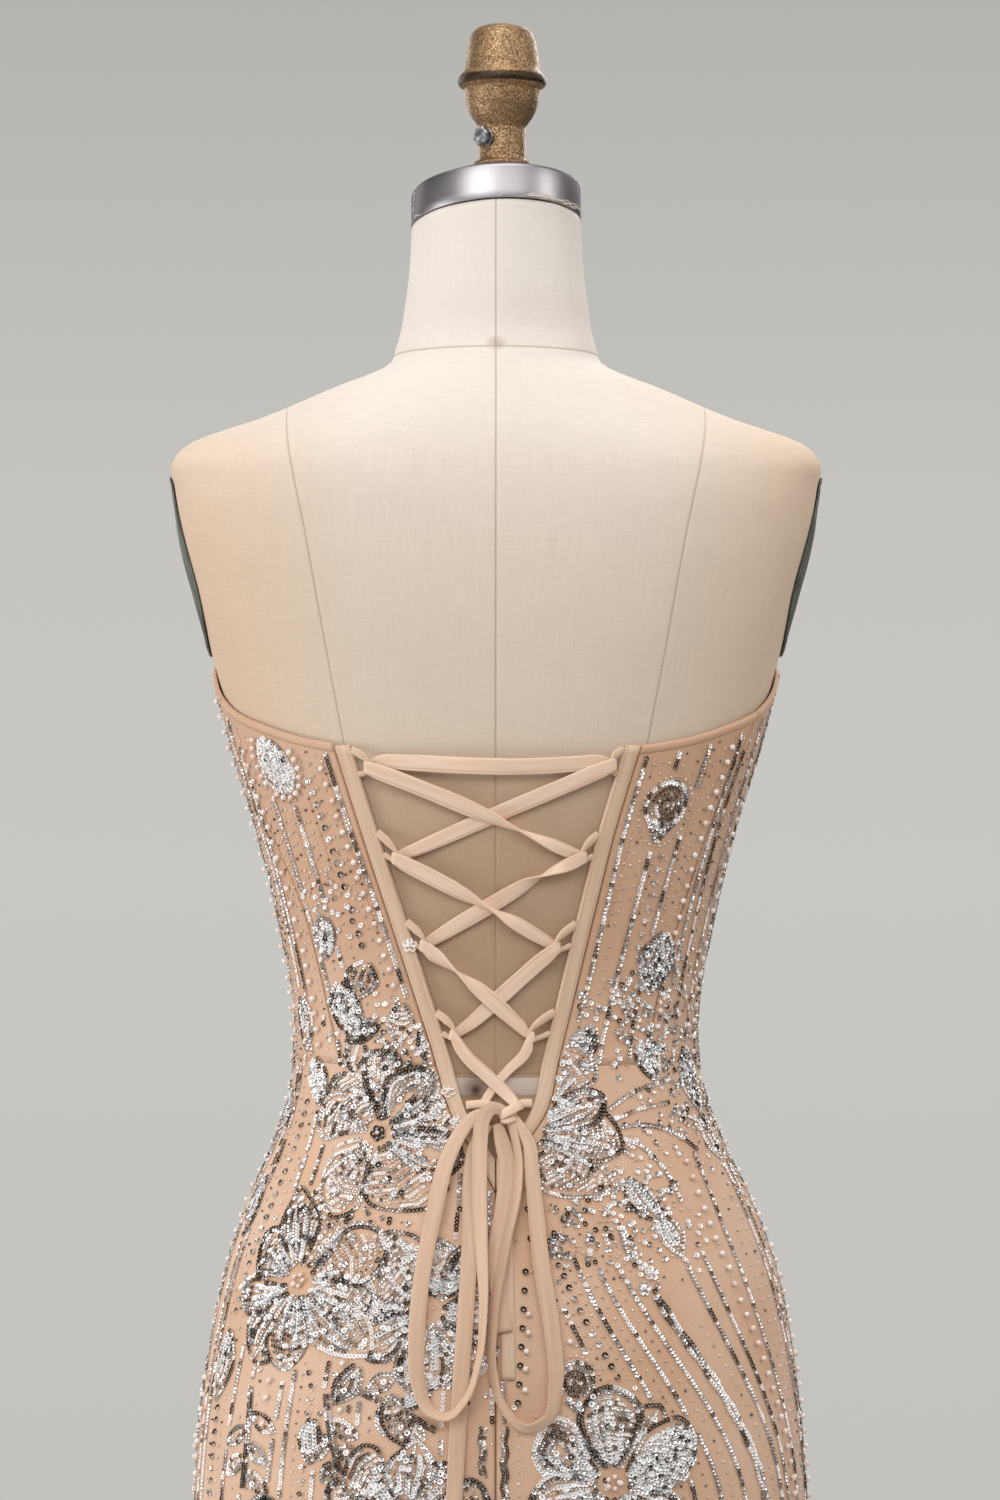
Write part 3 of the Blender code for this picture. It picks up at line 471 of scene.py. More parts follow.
def tulle():
    """Nude nylon tulle over a satin lining: a soft peach with the net's darker mesh over it, matt
    in the holes. The net is 1.1 mm and is drawn 1.5 mm so that it shows."""
    made, tree, shader = finish_named("nylon_tulle_nude", "#E5BFA2", 0.62, Sheen_Weight=0.25)
    where, place = put(tree, "UVMap", uv_map="cloth"), put(tree, "TexCoord", out="Object")
    drift = put(tree, "TexNoise", {"Vector": place, "Scale": 16.0, "Detail": 3.0})
    body = put(tree, "ValToRGB", (drift,), stops=[(0.3, "#DDB392"), (0.5, "#E5BFA2"), (0.7, "#EAC8AE")])
    aslant = {"Vector": where, "Rotation": (0, 0, math.radians(45)), "Scale": (670.0, 670.0, 1.0)}
    cell = {"Vector": put(tree, "Mapping", aslant), "Scale": 1.0, "Randomness": 0.25}
    cell = put(tree, "TexVoronoi", cell, feature="DISTANCE_TO_EDGE", voronoi_dimensions="2D")
    net = put(tree, "MapRange", (cell, 0.06, 0.2, 0.55, 0.0))
    body = put(tree, "Mix", {0: net, 6: body, 7: "#C79A78"}, **OVER)
    # the bodice is lined twice and shows a little deeper than the skirt
    height = put(tree, "SeparateXYZ", (place,), "Z")
    lined = put(tree, "MapRange", (height, WAIST - 0.006, WAIST + 0.07, None, 0.42))
    body = put(tree, "Mix", {0: lined, 6: body, 7: "#BE9272"}, **OVER)
    seam = put(tree, "Attribute", out="Fac", attribute_name="seam")
    near_seam = put(tree, "MapRange", (seam, 0.3, 1.4, 0.5, 0.0))
    body = put(tree, "Mix", {0: near_seam, 6: body, 7: "#B08662"}, **OVER)
    bump = put(tree, "Bump", {"Height": net, "Strength": 0.35, "Distance": 0.00025})
    feed(shader, {"Base Color": body, "Normal": bump})
    return made


def crepe(name, pale, deep, stitch):
    """Polyester satin-backed crepe cut on the bias: smooth with a soft sheen, faint lengthwise
    pulls, and one line of stitching `stitch` metres from the strip's middle."""
    made, tree, shader = finish_named(name, pale, 0.55, Sheen_Weight=0.22, Sheen_Roughness=0.4)
    where = put(tree, "UVMap", uv_map="cloth")
    long = put(tree, "Mapping", {"Vector": where, "Scale": (330.0, 22.0, 1.0)})
    pull = put(tree, "TexNoise", {"Vector": long, "Scale": 1.0, "Detail": 1.0})
    body = put(tree, "ValToRGB", (pull,), stops=[(0.25, deep), (0.65, pale)])
    across = put(tree, "SeparateXYZ", (where,), "X")
    line = put(tree, "Math", (across, stitch, 0.0003), operation="COMPARE")
    line = put(tree, "Math", (line, 0.45), operation="MULTIPLY")
    body = put(tree, "Mix", {0: line, 6: body, 7: "#B98F6C"}, **OVER)
    first = put(tree, "Bump", {"Height": pull, "Strength": 0.1, "Distance": 0.0004})
    feed(shader, {"Base Color": body, "Normal": weave(tree, where, 0.0009, 0.00004, first)})
    return made


def brushed(name, base, rough, streak, across, edge=1.0):
    """Steel, turned and brushed with fine grit: satin, with streaks along the brush's way. streak
    is the grit's mark in metres; across says which Object axes run along the marks; edge is how
    bright it mirrors at a glancing angle, low where the grit runs round a turned piece."""
    made, tree, shader = finish_named(name, base, rough, 1.0, Specular_Tint=(edge, edge, edge, 1))
    fine = [1 / streak if axis not in across else 6.0 for axis in "XYZ"]
    lines = put(tree, "Mapping", {"Vector": put(tree, "TexCoord", out="Object"), "Scale": fine})
    mark = put(tree, "TexNoise", {"Vector": lines, "Scale": 1.0, "Detail": 3.0})
    darker = put(tree, "MapRange", (mark, 0.3, 0.7, 0.93))
    body = put(tree, "Mix", {0: 1.0, 6: base, 7: darker}, **DARKEN)
    rougher = put(tree, "MapRange", (mark, 0.3, 0.7, rough - 0.03, rough + 0.04))
    bump = put(tree, "Bump", {"Height": mark, "Strength": 0.1, "Distance": 0.0001})
    feed(shader, {"Base Color": body, "Roughness": rougher, "Normal": bump})
    return made


def bronze():
    """Sand-cast bronze, lacquered: a dull gold with a coarse grain, dark where the brim is rubbed.
    The grain is 1 mm."""
    made, tree, shader = finish_named("cast_bronze_lacquered", "#9B7B50", 0.46, 0.75)
    place = put(tree, "TexCoord", out="Object")
    grain = put(tree, "TexNoise", {"Vector": place, "Scale": 880.0, "Detail": 3.0})
    broad = put(tree, "TexNoise", {"Vector": place, "Scale": 95.0, "Detail": 3.0})
    body = put(tree, "ValToRGB", (grain,), stops=[(0.36, "#73573A"), (0.5, "#A0805D"), (0.64, "#C6A881")])
    broad = put(tree, "MapRange", (broad, 0.5, 0.75, None, 0.5))
    body = put(tree, "Mix", {0: broad, 6: body, 7: "#8E6238"}, **OVER)
    worn = put(tree, "MapRange", (put(tree, "SeparateXYZ", (place,), "Z"), *BRIM))
    band = put(tree, "ValToRGB", (worn,), stops=[(0.0, 0.0), (0.14, 0.9), (0.8, 0.85), (1.0, 0.0)])
    body = put(tree, "Mix", {0: band, 6: body, 7: "#241B15"}, **OVER)
    rough = put(tree, "MapRange", (grain, 0.3, 0.7, 0.55, 0.34))
    bump = put(tree, "Bump", {"Height": grain, "Strength": 0.8, "Distance": 0.0006})
    feed(shader, {"Base Color": body, "Roughness": rough, "Normal": bump})
    return made


def mottled(name, base, rough, metal, scale, detail, stops, bump=None, drawn=None):
    """A hard finish whose colour goes with a noise in Object coordinates, drawn out by `drawn`
    where it is given. bump is a finer grain: its scale, strength and depth."""
    made, tree, shader = finish_named(name, base, rough, metal)
    place = put(tree, "TexCoord", out="Object")
    where = put(tree, "Mapping", {"Vector": place, "Scale": drawn}) if drawn else place
    tint = put(tree, "TexNoise", {"Vector": where, "Scale": scale, "Detail": detail})
    feed(shader, {"Base Color": put(tree, "ValToRGB", (tint,), stops=stops)})
    if bump:
        scale, strength, depth = bump
        grain = put(tree, "TexNoise", {"Vector": place, "Scale": scale})
        grain = {"Height": grain, "Strength": strength, "Distance": depth}
        feed(shader, {"Normal": put(tree, "Bump", grain)})
    return made


LINEN = linen()
TULLE = tulle()
# Binding and loops are one cloth; the lace is the same crepe, folded into a flat tube.
BINDING = crepe("crepe_binding_nude", "#DDC0A6", "#D3B295", 0.0029)
LACE = crepe("crepe_lace_nude", "#EFD2BC", "#E6C4A8", 0.0031)
BOW_SHADED_COPY = crepe("crepe_bow_nude_painted_shade", "#DDBB9F", "#D2AF94", 0.0036)  # the same crepe, copied a shade deeper as painted shade, since the bow hangs in shade
CAP_STEEL = brushed("steel_spun_brushed", "#BEB9BC", 0.42, 0.0005, "XY", 0.0)
POLE_STEEL = brushed("steel_tube_brushed", "#B9B8B8", 0.3, 0.0005, "Z")
BRONZE = bronze()
# Zinc-plated steel: cool grey with a faint spangle.
SPANGLE = [(0.35, "#74787A"), (0.65, "#C2C6C6")]
ZINC = mottled("steel_zinc_plated", "#9DA0A0", 0.38, 1.0, 400.0, 2.0, SPANGLE)
# Moulded ABS, fine spark texture, scuffed: a dark grey-green with paler drag marks.
DRAGS = [(0.4, "#50544C"), (0.6, "#666A61"), (0.78, "#8E918A")]
SPARK = (900.0, 0.3, 0.0002)
PLASTIC = mottled("abs_moulded_grey", "#6F736E", 0.5, 0.0, 1.0, 3.0, DRAGS, SPARK, (220.0, 220.0, 16.0))
# Cast iron under satin paint: warm dark grey, slight orange peel, paler in worn patches.
WEAR = [(0.4, "#7E7A75"), (0.62, "#8D8984"), (0.8, "#A7A39D")]
IRON = mottled("iron_satin_painted", "#8A8681", 0.42, 0.0, 30.0, 6.0, WEAR, (260.0, 0.2, 0.0004))

# Sequins are 0.1 mm metallised polyester, stamped into a shallow cup: a mirror with fine stamp
# marks. One real finish gives all these tones as the cups face the lights or the dark of a room,
# so four tones of it are laid in runs along each strand. Plain values, so the export keeps them.
FILM = (
    ("white", "#FFFFFF", 0.24, 0.15), ("bright", "#EDECEC", 0.24, 0.8), ("mid", "#B4B1AF", 0.24, 0.92),
    ("dark", "#534E4B", 0.22, 0.95),
)
SEQUIN_TONES = [finish_named("polyester_film_silvered_" + word, *plain)[0] for word, *plain in FILM]
# Seed beads: silver-lined glass, bright where the lining shows, dark at the bore.
GLASS = (
    ("clear", "#F4F0EE", 0.12, 0.35), ("silver", "#C9C6C4", 0.14, 0.8), ("smoke", "#6A6461", 0.14, 0.8),
    ("blush", "#EBCDB8", 0.16, 0.25),
)
GLASS_TONES = [
    finish_named("glass_silver_lined_" + word, *plain, IOR=1.52, Coat_Weight=0.6)[0]
    for word, *plain in GLASS
]
# Faux pearls: glass with a nacre coat, milky with a rosy edge.
NACRE = {"Coat_Weight": 0.7, "Coat_Roughness": 0.12, "Sheen_Weight": 0.35, "Sheen_Tint": "#F3D3C6"}
PEARL_TONES = [
    finish_named("nacre_coated_glass_" + word, base, 0.22, 0.0, **NACRE)[0]
    for word, base in (("white", "#F7F0EB"), ("rose", "#F1DDD2"))
]
THREAD = finish_named("polyester_thread_nude", "#D9AE8C", 0.6)[0]
LINEN_THREAD = finish_named("linen_thread_loose", "#F0E6D8", 0.8)[0]

# ---- making meshes ----


def quads(rows, columns, around=False):
    """Corner numbers of a grid's cells. With rows rising and columns turning, they face out."""
    number = np.arange(rows * columns).reshape(rows, columns)
    if around:
        number = np.hstack((number, number[:, :1]))
    corners = (number[:-1, :-1], number[:-1, 1:], number[1:, 1:], number[1:, :-1])
    return np.stack(corners, -1).reshape(-1, 4)


def circle(count):
    return np.linspace(0, 2 * math.pi, count, endpoint=False)


def end_caps(rows, each):
    """Fans that close a tube of rings. Their middles are the two points after the last ring."""
    first = np.arange(each)
    last = first + (rows - 1) * each
    low, high = (np.full(each, rows * each + k) for k in (0, 1))
    return np.stack((low, np.roll(first, -1), first), -1), np.stack((high, last, np.roll(last, -1)), -1)


def along_it(path):
    """How far along a path each of its points is."""
    return np.concatenate(([0], np.cumsum(np.linalg.norm(np.diff(path, axis=0), axis=1))))


def build(name, points, faces, finish, smooth=True, uv=None, tones=None, marks=None):
    """Puts arrays of points and faces in a mesh that rides on the body. faces is a list of arrays.
    uv is a table of places and, for each array of faces, the rows of that table at its corners;
    tones picks each face's material; marks are named values at the points."""
    mesh = bpy.data.meshes.new(name)
    listed = [face for group in faces for face in np.asarray(group).tolist()]
    mesh.from_pydata(np.asarray(points).reshape(-1, 3).tolist(), [], listed)
    for each in finish if isinstance(finish, (list, tuple)) else [finish]:
        mesh.materials.append(each)
    if tones is not None:
        mesh.polygons.foreach_set("material_index", np.asarray(tones, np.int32))
    mesh.polygons.foreach_set("use_smooth", np.full(len(mesh.polygons), smooth))
    if uv is not None:
        table, rows = uv
        spread = np.concatenate([table[np.asarray(r).reshape(-1)] for r in rows])
        mesh.uv_layers.new(name="cloth").data.foreach_set("uv", spread.reshape(-1))
    for key, values in (marks or {}).items():
        layer = mesh.attributes.new(key, "FLOAT", "POINT")
        layer.data.foreach_set("value", np.asarray(values, float).reshape(-1))
    mesh.update()
    made = bpy.data.objects.new(name, mesh)
    bpy.context.scene.collection.objects.link(made)
    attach(made, "root")
    return made


def loft(name, rings, finish, places=None, sharp=None):
    """A closed solid through rings of points, capped at both ends. places are its UV values."""
    rings = np.asarray(rings)
    count, each = rings.shape[:2]
    points = np.concatenate((rings.reshape(-1, 3), [rings[0].mean(0), rings[-1].mean(0)]))
    faces = [quads(count, each, True), *end_caps(count, each)]
    uv = None
    if places is not None:
        uv = (np.concatenate((places.reshape(-1, 2), [places[0].mean(0), places[-1].mean(0)])), faces)
    made = build(name, points, faces, finish, uv=uv)
    if sharp:
        made.data.set_sharp_from_angle(angle=math.radians(sharp))
    return made


def turned(radius, height, centre, count):
    """Rings of points round an upright line."""
    angle = circle(count)
    x, y = centre[0] + radius * np.cos(angle), centre[1] + radius * np.sin(angle)
    return np.stack(np.broadcast_arrays(x, y, height), -1)


def smooth_route(rows, spacing):
    """Rows of a route joined by a smooth cubic, with a point about every `spacing` metres. Only
    the first three columns count for the length."""
    rows = np.array(rows, float)
    length = along_it(rows[:, :3])
    at = np.linspace(0, length[-1], max(2, round(length[-1] / spacing)) + 1)
    return np.stack(read(np.column_stack((length, rows)), at), -1)


def on_back(rows, spacing):
    """World points, outward directions and any further columns of a route on the back. Rows are
    x, height and distance off the linen in millimetres, width in millimetres, twist in degrees."""
    table = smooth_route(np.array(rows, float) / 1000, spacing)
    x, height, out = table[:, :3].T
    turn = turn_at(x, height)
    return off_skin(turn, height, out), outward(turn, height), table[:, 3:]


def carry(name, path, side, up, across, lift, finish, slot):
    """A solid whose section is carried along a path. across and lift are the section's points,
    one row for each point of the path: across lies along `side` and lift along `up`."""
    rings = path[:, None] + across[..., None] * side[:, None] + lift[..., None] * up[:, None]
    places = np.stack((across, np.repeat(along_it(path)[:, None], across.shape[1], 1)), -1)
    return loft(name, rings, finish, places)


def sweep(name, path, facing, across, lift, finish, slot, twist=0.0):
    """A section carried so that it lies on the surface, but for its own twist about the path."""
    along = unit(np.gradient(path, axis=0))
    side = unit(np.cross(facing, along))
    up = np.cross(along, side)
    c, s = np.cos(twist), np.sin(twist)
    return carry(name, path, side * c + up * s, up * c - side * s, across, lift, finish, slot)


def lace_section(width, thick):
    """A flat tube: a superellipse, squarer across than through, a little fuller in its middle."""
    c, s = np.cos(circle(16)), np.sin(circle(16))
    across = np.sign(c) * np.abs(c) ** 0.45
    lift = np.sign(s) * np.abs(s) ** 0.55 * (0.86 + 0.14 * (1 - across**2))
    return width[:, None] / 2 * across, thick[:, None] / 2 * lift


def ribbon(name, rows, spacing=0.0025, finish=LACE):
    """The lace along a route. It keeps its cloth: where it is drawn narrow it grows thicker."""
    path, facing, more = on_back(rows, spacing)
    width, twist = more[:, 0], np.radians(more[:, 1:] * 1000)
    section = lace_section(width, LACE_THICK * (1 + 1.6 * np.clip(1 - width / LACE_WIDTH, 0, 1)))
    return sweep(name, path, facing, *section, finish, "lace_ribbon", twist), path


# ---- the lace and its bow ----


def square_on(side, crease, away):
    """Turns a strand's width towards a crease over the 8 mm next to it."""
    side = side * (1.0 if side[np.argmin(away)] @ crease > 0 else -1.0)
    near = np.clip(1 - away / 0.008, 0, 1)[:, None]
    return unit(side * (1 - near) + crease * near)


def lacing():
    """The whole lace as one strip. In a strand its width lies across its path and turns with its
    twist. At a loop it folds flat over itself: the path makes a half circle off the body, and the
    width lies along the crease, which is square to the mean of the two strands' ways."""
    strips = []
    for name, way in LACE_WAY:
        path, facing, more = on_back(STRANDS[name][::way], 0.0018)
        along = unit(np.gradient(path, axis=0))
        side = unit(np.cross(facing, along))
        twist = np.radians(more[:, 1] * 1000)[:, None] * way
        side = side * np.cos(twist) + np.cross(along, side) * np.sin(twist)
        strips.append((path, facing, along, side, more[:, 0]))
    crease, arc = None, np.linspace(0, math.pi, 9)[1:-1, None]
    parts = []
    for number, (path, facing, along, side, width) in enumerate(strips):
        length = along_it(path)
        if crease is not None:
            side = square_on(side, crease, length)
        parts.append((path, side, width))
        if number < len(strips) - 1:
            after, _, next_along, _, next_width = strips[number + 1]
            past = unit(along[-1] - next_along[0])
            crease = unit(np.cross(facing[-1], past))
            crease = crease * (1.0 if side[-1] @ crease > 0 else -1.0)
            parts[-1] = (path, square_on(side, crease, length[-1] - length), width)
            middle, half = (path[-1] + after[0]) / 2, (after[0] - path[-1]) / 2
            fold = middle - half * np.cos(arc) + past * np.linalg.norm(half) * 0.75 * np.sin(arc)
            widths = np.full(len(arc), (width[-1] + next_width[0]) / 2)
            parts.append((fold, np.repeat(crease[None], len(arc), 0), widths))
    path, side, width = (np.concatenate(column) for column in zip(*parts))
    up = unit(np.cross(unit(np.gradient(path, axis=0)), side))
    section = lace_section(width, LACE_THICK * (1 + 0.7 * np.clip(1 - width / LACE_WIDTH, 0, 1)))
    return carry("lacing", path, side, up, *section, LACE, "lace_ribbon"), path


def lacing_and_bow():
    crossings = [f"lace_cross_{n}_{w}" for n in range(1, 5) for w in ("over", "under")]
    cords = [(*lacing(), ("lace_top_bar", *crossings), "object", "taut")]
    for name, rows, far_end in (
        ("bow_loop_left", BOW_LEFT, "object"), ("bow_loop_right", BOW_RIGHT, "object"),
        ("bow_tail_long", TAIL_LONG, "bare"), ("bow_tail_short", TAIL_SHORT, "bare"),
    ):
        # the bow's loops and tails take the painted-shade copy of the crepe
        cords.append((*ribbon("crepe_" + name, rows, finish=BOW_SHADED_COPY), (name,), far_end, "hanging"))
    for made, path, nodes, far_end, lay in cords:
        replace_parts(made, *nodes)


lacing_and_bow()


def lace_loops_and_leads():
    """Fine fabric tubes: out of the binding, down over the lace that comes in, round inside its
    fold, and back under. And the two leads to the knot."""
    angle = circle(12)
    for name, side, high, low in LOOPS:
        root = 1000 * v_edge(side, np.array([high, low]) / 1000) + side * 0.2
        out = 1000 * EASE + 1.7
        fold_x, fold_height = STRANDS[name][0][:2]
        tip_x, tip_height = fold_x - side * 1.8, fold_height - 0.2
        rows = (
            (root[0], high + 1.0, out),
            (0.55 * root[0] + 0.45 * tip_x, 0.55 * high + 0.45 * tip_height + 3.0, out + 1.6),
            (tip_x + side * 0.6, tip_height + 2.6, out + 2.0), (tip_x, tip_height, out + 1.4),
            (tip_x + side * 1.0, tip_height - 1.4, out + 1.0),
            (0.5 * root[1] + 0.5 * tip_x, 0.5 * low + 0.5 * tip_height - 1.4, out + 0.4),
            (root[1], low, out),
        )
        path, facing, _ = on_back(rows, 0.001)
        at, along = (0, 0.3, 0.48, 0.66, 1.0), np.linspace(0, 1, len(path))[:, None]
        broad = np.interp(along, at, (2.5, 2.4, 1.3, 1.4, 1.8)) / 1000 * np.cos(angle)
        deep = np.interp(along, at, (1.1, 1.2, 1.1, 1.1, 1.2)) / 1000 * np.sin(angle)
        made = sweep(f"rouleau_loop_{name}", path, facing, broad, deep, BINDING, "satin_binding")
        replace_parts(made, f"loop_{name}")
    for name, *rows in KNOT_LEADS:
        path, facing, _ = on_back(rows, 0.0012)
        flat = np.full((len(path), 1), 0.001)
        broad, deep = flat * 2.5 * np.cos(angle), flat * 1.2 * np.sin(angle)
        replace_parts(sweep("crepe_" + name, path, facing, broad, deep, LACE, "lace_ribbon"), name)


# The knot's wrap over the legs, and a second, deeper turn below it: x, height and distance off
# the linen, width, twist
KNOT_WRAPS = (
    (
        (14.4, 1013.0, 6.0, 4.0, 0), (12.4, 1012.4, 9.4, 5.2, 0), (8.8, 1010.2, 11.6, 5.8, 6),
        (5.2, 1008.0, 11.2, 5.4, 10), (2.8, 1006.6, 7.6, 4.0, 6),
    ),
    (
        (11.6, 1006.4, 7.0, 3.4, 0), (9.2, 1005.2, 9.6, 4.4, 10), (6.0, 1004.4, 9.4, 4.4, 16),
        (3.6, 1004.8, 7.2, 3.4, 10),
    ),
)


def knot():
    """The bow's knot: two wraps of lace over a rounded core of gathered legs. The core is an
    ellipse carried along a short line, fuller in its middle."""
    x, height, out = np.array(KNOT) / 1000
    turn = turn_at(x, height)
    place = off_skin(turn, height, out)
    along, up = (unit(v) for v in slopes(turn, height))
    normal = outward(turn, height)
    angle = circle(32)
    axis = unit(along * 0.85 + up * 0.52)
    over = unit(np.cross(axis, normal))
    step = np.linspace(-1, 1, 9)
    bulge = np.sqrt(np.clip(1 - step**2 * 0.8, 0, 1))[:, None, None]
    ring = 0.0028 * np.cos(angle)[:, None] * normal + 0.003 * np.sin(angle)[:, None] * over
    rings = place + 0.004 * step[:, None, None] * axis + bulge * ring
    places = np.zeros((9, 32, 2))
    places[..., 0] = step[:, None] * 0.004
    places[..., 1] = angle * 0.005
    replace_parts(loft("crepe_bow_knot", rings, LACE, places), "bow_knot")
    for number, rows in enumerate(KNOT_WRAPS, 1):
        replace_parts(ribbon(f"crepe_knot_wrap_{number}", rows, 0.001)[0], "bow_knot")


lace_loops_and_leads()
knot()

# ---- the dress form ----

# Princess seams of the form: height, distance from the middle
PRINCESS = (
    (0.711, 0.088), (0.9, 0.074), (1.036, 0.057), (1.12, 0.07), (1.2269, 0.0886), (1.272, 0.097),
    (1.347, 0.1104), (1.4036, 0.1216), (1.42, 0.1235), (1.536, 0.1235),
)
NECK_SEAM = 1.456
SEAM_STEPS = np.array((0.0, 0.4, 1.0, 2.2))  # millimetres from a seam to the grid's lines beside it
SEAM_DEPTH = np.array((-0.34, -0.12, 0.06, 0.0))


def form_torso():
    """Linen: the body's ovals, on a grid whose columns follow the seams. Each seam is a groove
    with the cloth raised a little on both sides of it."""
    steps = (
        np.linspace(FORM_BOTTOM, 0.96, 14)[:-1], np.linspace(0.96, 1.019, 14)[:-1],
        (1.019, 1.0198, 1.0204, 1.025, 1.0296, 1.0302, 1.0312, 1.0318, 1.0322, 1.0326, 1.0334),
        np.linspace(1.0365, NECK_SEAM - 0.004, 120),
        NECK_SEAM + np.array((-0.0022, -0.001, -0.0004, 0.0, 0.0004, 0.001, 0.0022)),
        np.linspace(NECK_SEAM + 0.004, NECK_TOP, 24),
    )
    rows = np.concatenate(steps)
    same = np.ones(len(rows))
    princess = np.minimum(turn_at(read(PRINCESS, rows)[0], rows), math.radians(82))
    lines = [0 * same, princess, math.pi / 2 * same, math.pi - princess, math.pi * same]
    lines += [2 * math.pi - line for line in lines[3::-1]]
    # only the middle seams go on up the neck
    fades = [same if k % 4 == 0 else np.clip((1.44 - rows) / 0.012, 0, 1) for k in range(9)]
    depth_of = (1.0, 1.0, 0.8, 0.9, 0.9, 0.9, 0.8, 1.0, 1.0)
    per_radian = np.linalg.norm(slopes(np.array(0.8), rows)[0], axis=-1)
    columns, depth, seam = [], [], []

    def column(place, groove, from_seam):
        columns.append(place)
        depth.append(groove)
        seam.append(from_seam)

    for k in range(8):
        offset = np.minimum(SEAM_STEPS / 1000 / per_radian[:, None], (lines[k + 1] - lines[k])[:, None] / 4)
        sides = [(k, s, 1) for s in range(4)] + [(k + 1, s, -1) for s in (3, 2, 1)]
        for number, (line, s, way) in enumerate(sides):
            if number == 4:
                start, stop = lines[k] + offset[:, 3], lines[k + 1] - offset[:, 3]
                for u in np.linspace(0, 1, 14)[1:-1]:
                    column(start + u * (stop - start), 0 * same, 9 * same)
            groove = SEAM_DEPTH[s] * depth_of[line] * fades[line]
            column(lines[line] + way * offset[:, s], groove, np.where(fades[line] > 0.5, SEAM_STEPS[s], 9.0))
    turn, depth, seam = (np.stack(a, 1) for a in (columns, depth, seam))
    height = np.repeat(rows[:, None], turn.shape[1], 1)
    across = np.abs(height - NECK_SEAM) * 1000
    depth = np.minimum(depth, np.interp(across, SEAM_STEPS, SEAM_DEPTH * 0.9, right=9) + (across > 2.2) * 9)
    seam = np.minimum(seam, across + (across > 3) * 9)
    tape_seam = np.abs(height - TAPE_SEAM) * 1000
    on_tape = np.abs(height - WAIST_TAPE[0]) < WAIST_TAPE[1]
    depth = depth + np.where(tape_seam < 0.3, -0.35, 0) + 0.35 * on_tape
    seam = np.minimum(seam, tape_seam + 0.3 + (tape_seam > 3) * 9)
    # the cloth is never quite even: very low swells between the seams
    swell = 0.25 * np.sin(9 * turn + 40 * height) * np.sin(31 * height + 2.0)
    points = off_skin(turn, height, (depth + swell * (height > 1.05)) / 1000)
    count, each = turn.shape
    rim = skin(turn[0], FORM_BOTTOM) * (0.975, 0.975, 1) - (0, 0, 0.004)
    middles = [[0, 0, FORM_BOTTOM - 0.004], points[-1].mean(0)]
    faces = [quads(count + 1, each, True), *end_caps(count + 1, each)]
    wide = np.column_stack((turn, turn[:, :1] + 2 * math.pi))
    table = np.stack((wide * 0.15, np.repeat(rows[:, None], each + 1, 1)), -1)
    table = np.concatenate((table[:1], table)).reshape(-1, 2)
    uv = (table, [quads(count + 1, each + 1), np.zeros((2 * each, 3), int)])
    marks = {"seam": np.concatenate((np.full(each, 9.0), seam.reshape(-1), [9.0, 9.0]))}
    points = np.concatenate((rim, points.reshape(-1, 3), middles))
    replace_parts(build("linen_form", points, faces, LINEN, uv=uv, marks=marks), "form_torso")


def neck_cap():
    """A spun cap: a straight band with a rolled lower lip, a soft shoulder and a low dome, square
    to the neck's slope. The dome rises to a level seat round the finial's axis."""
    angle, top, wide = circle(144), NECK_CAP_HEIGHT, NECK_CAP_RADIUS
    rows = (  # radius, rise, and how much of it follows the neck and not the level seat
        (wide - 0.0012, 0.0004, 1.0),
        (wide - 0.0003, 0.0001, 1.0),
        (wide, 0.0006, 1.0),
        (wide, 0.006, 1.0),
        (wide, 0.012, 1.0),
        (wide, top - 0.0022, 1.0),
        (wide - 0.0003, top - 0.0010, 1.0),
        (wide - 0.0012, top, 1.0),
        (0.0470, top + 0.0013, 1.0),
        (0.0420, top + 0.0034, 1.0),
        (0.0360, top + 0.0060, 1.0),
        (0.0310, top + 0.0078, 0.8),
        (0.0260, top + 0.0094, 0.5),
        (0.0220, top + 0.0112, 0.2),
        (FINIAL_SEAT + 0.0010, top + 0.0126, 0.0),
        (FINIAL_SEAT + 0.0003, top + 0.0132, 0.0),
        (FINIAL_SEAT - 0.0004, top + 0.0135, 0.0),
    )
    middle_y = read(FORM_SECTIONS, np.array(NECK_TOP))[5]
    rings = []
    for radius, rise, follows in rows:
        x = radius * np.cos(angle) + (1 - follows) * FINIAL_X
        y = radius * np.sin(angle) + follows * (middle_y + NECK_PITCH * rise)
        y += (1 - follows) * FINIAL_Y
        z = NECK_TOP + HARD_GAP + rise - follows * (NECK_PITCH * (y - middle_y) - NECK_ROLL * x)
        rings.append(np.stack((x, y, z), -1))
    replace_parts(loft("spun_neck_cap", rings, CAP_STEEL), "neck_cap")


def frayed_threads():
    """Linen threads that stick out under the cap: fine hooks along its lower edge on the right."""
    middle_y = read(FORM_SECTIONS, np.array(NECK_TOP))[5]
    groups = []
    for k in range(26):
        angle = math.radians(-78 + 52 * rng.random()) if k < 20 else 2 * math.pi * rng.random()
        out = np.array((math.cos(angle), math.sin(angle), 0))
        around = np.array((-math.sin(angle), math.cos(angle), 0))
        start = out * (NECK_CAP_RADIUS + 0.0002)
        drift = 0.004 + 0.012 * rng.random()
        bow = 0.0012 * (1 + rng.random())
        u = np.linspace(0, 1, 7)[:, None]
        way = around * (1 if rng.random() < 0.7 else -1)
        path = start + way * drift * u + out * (bow * np.sin(math.pi * u) + 0.0004)
        rise = 0.0002 + 0.0022 * rng.random() * np.sin(math.pi * u[:, 0] * 0.8)
        level = NECK_PITCH * path[:, 1] - NECK_ROLL * path[:, 0]
        path[:, 2] = NECK_TOP + HARD_GAP + rise - level
        groups.append(path + (0, middle_y, 0))
    hairs("linen_frayed_threads", groups, LINEN_THREAD)


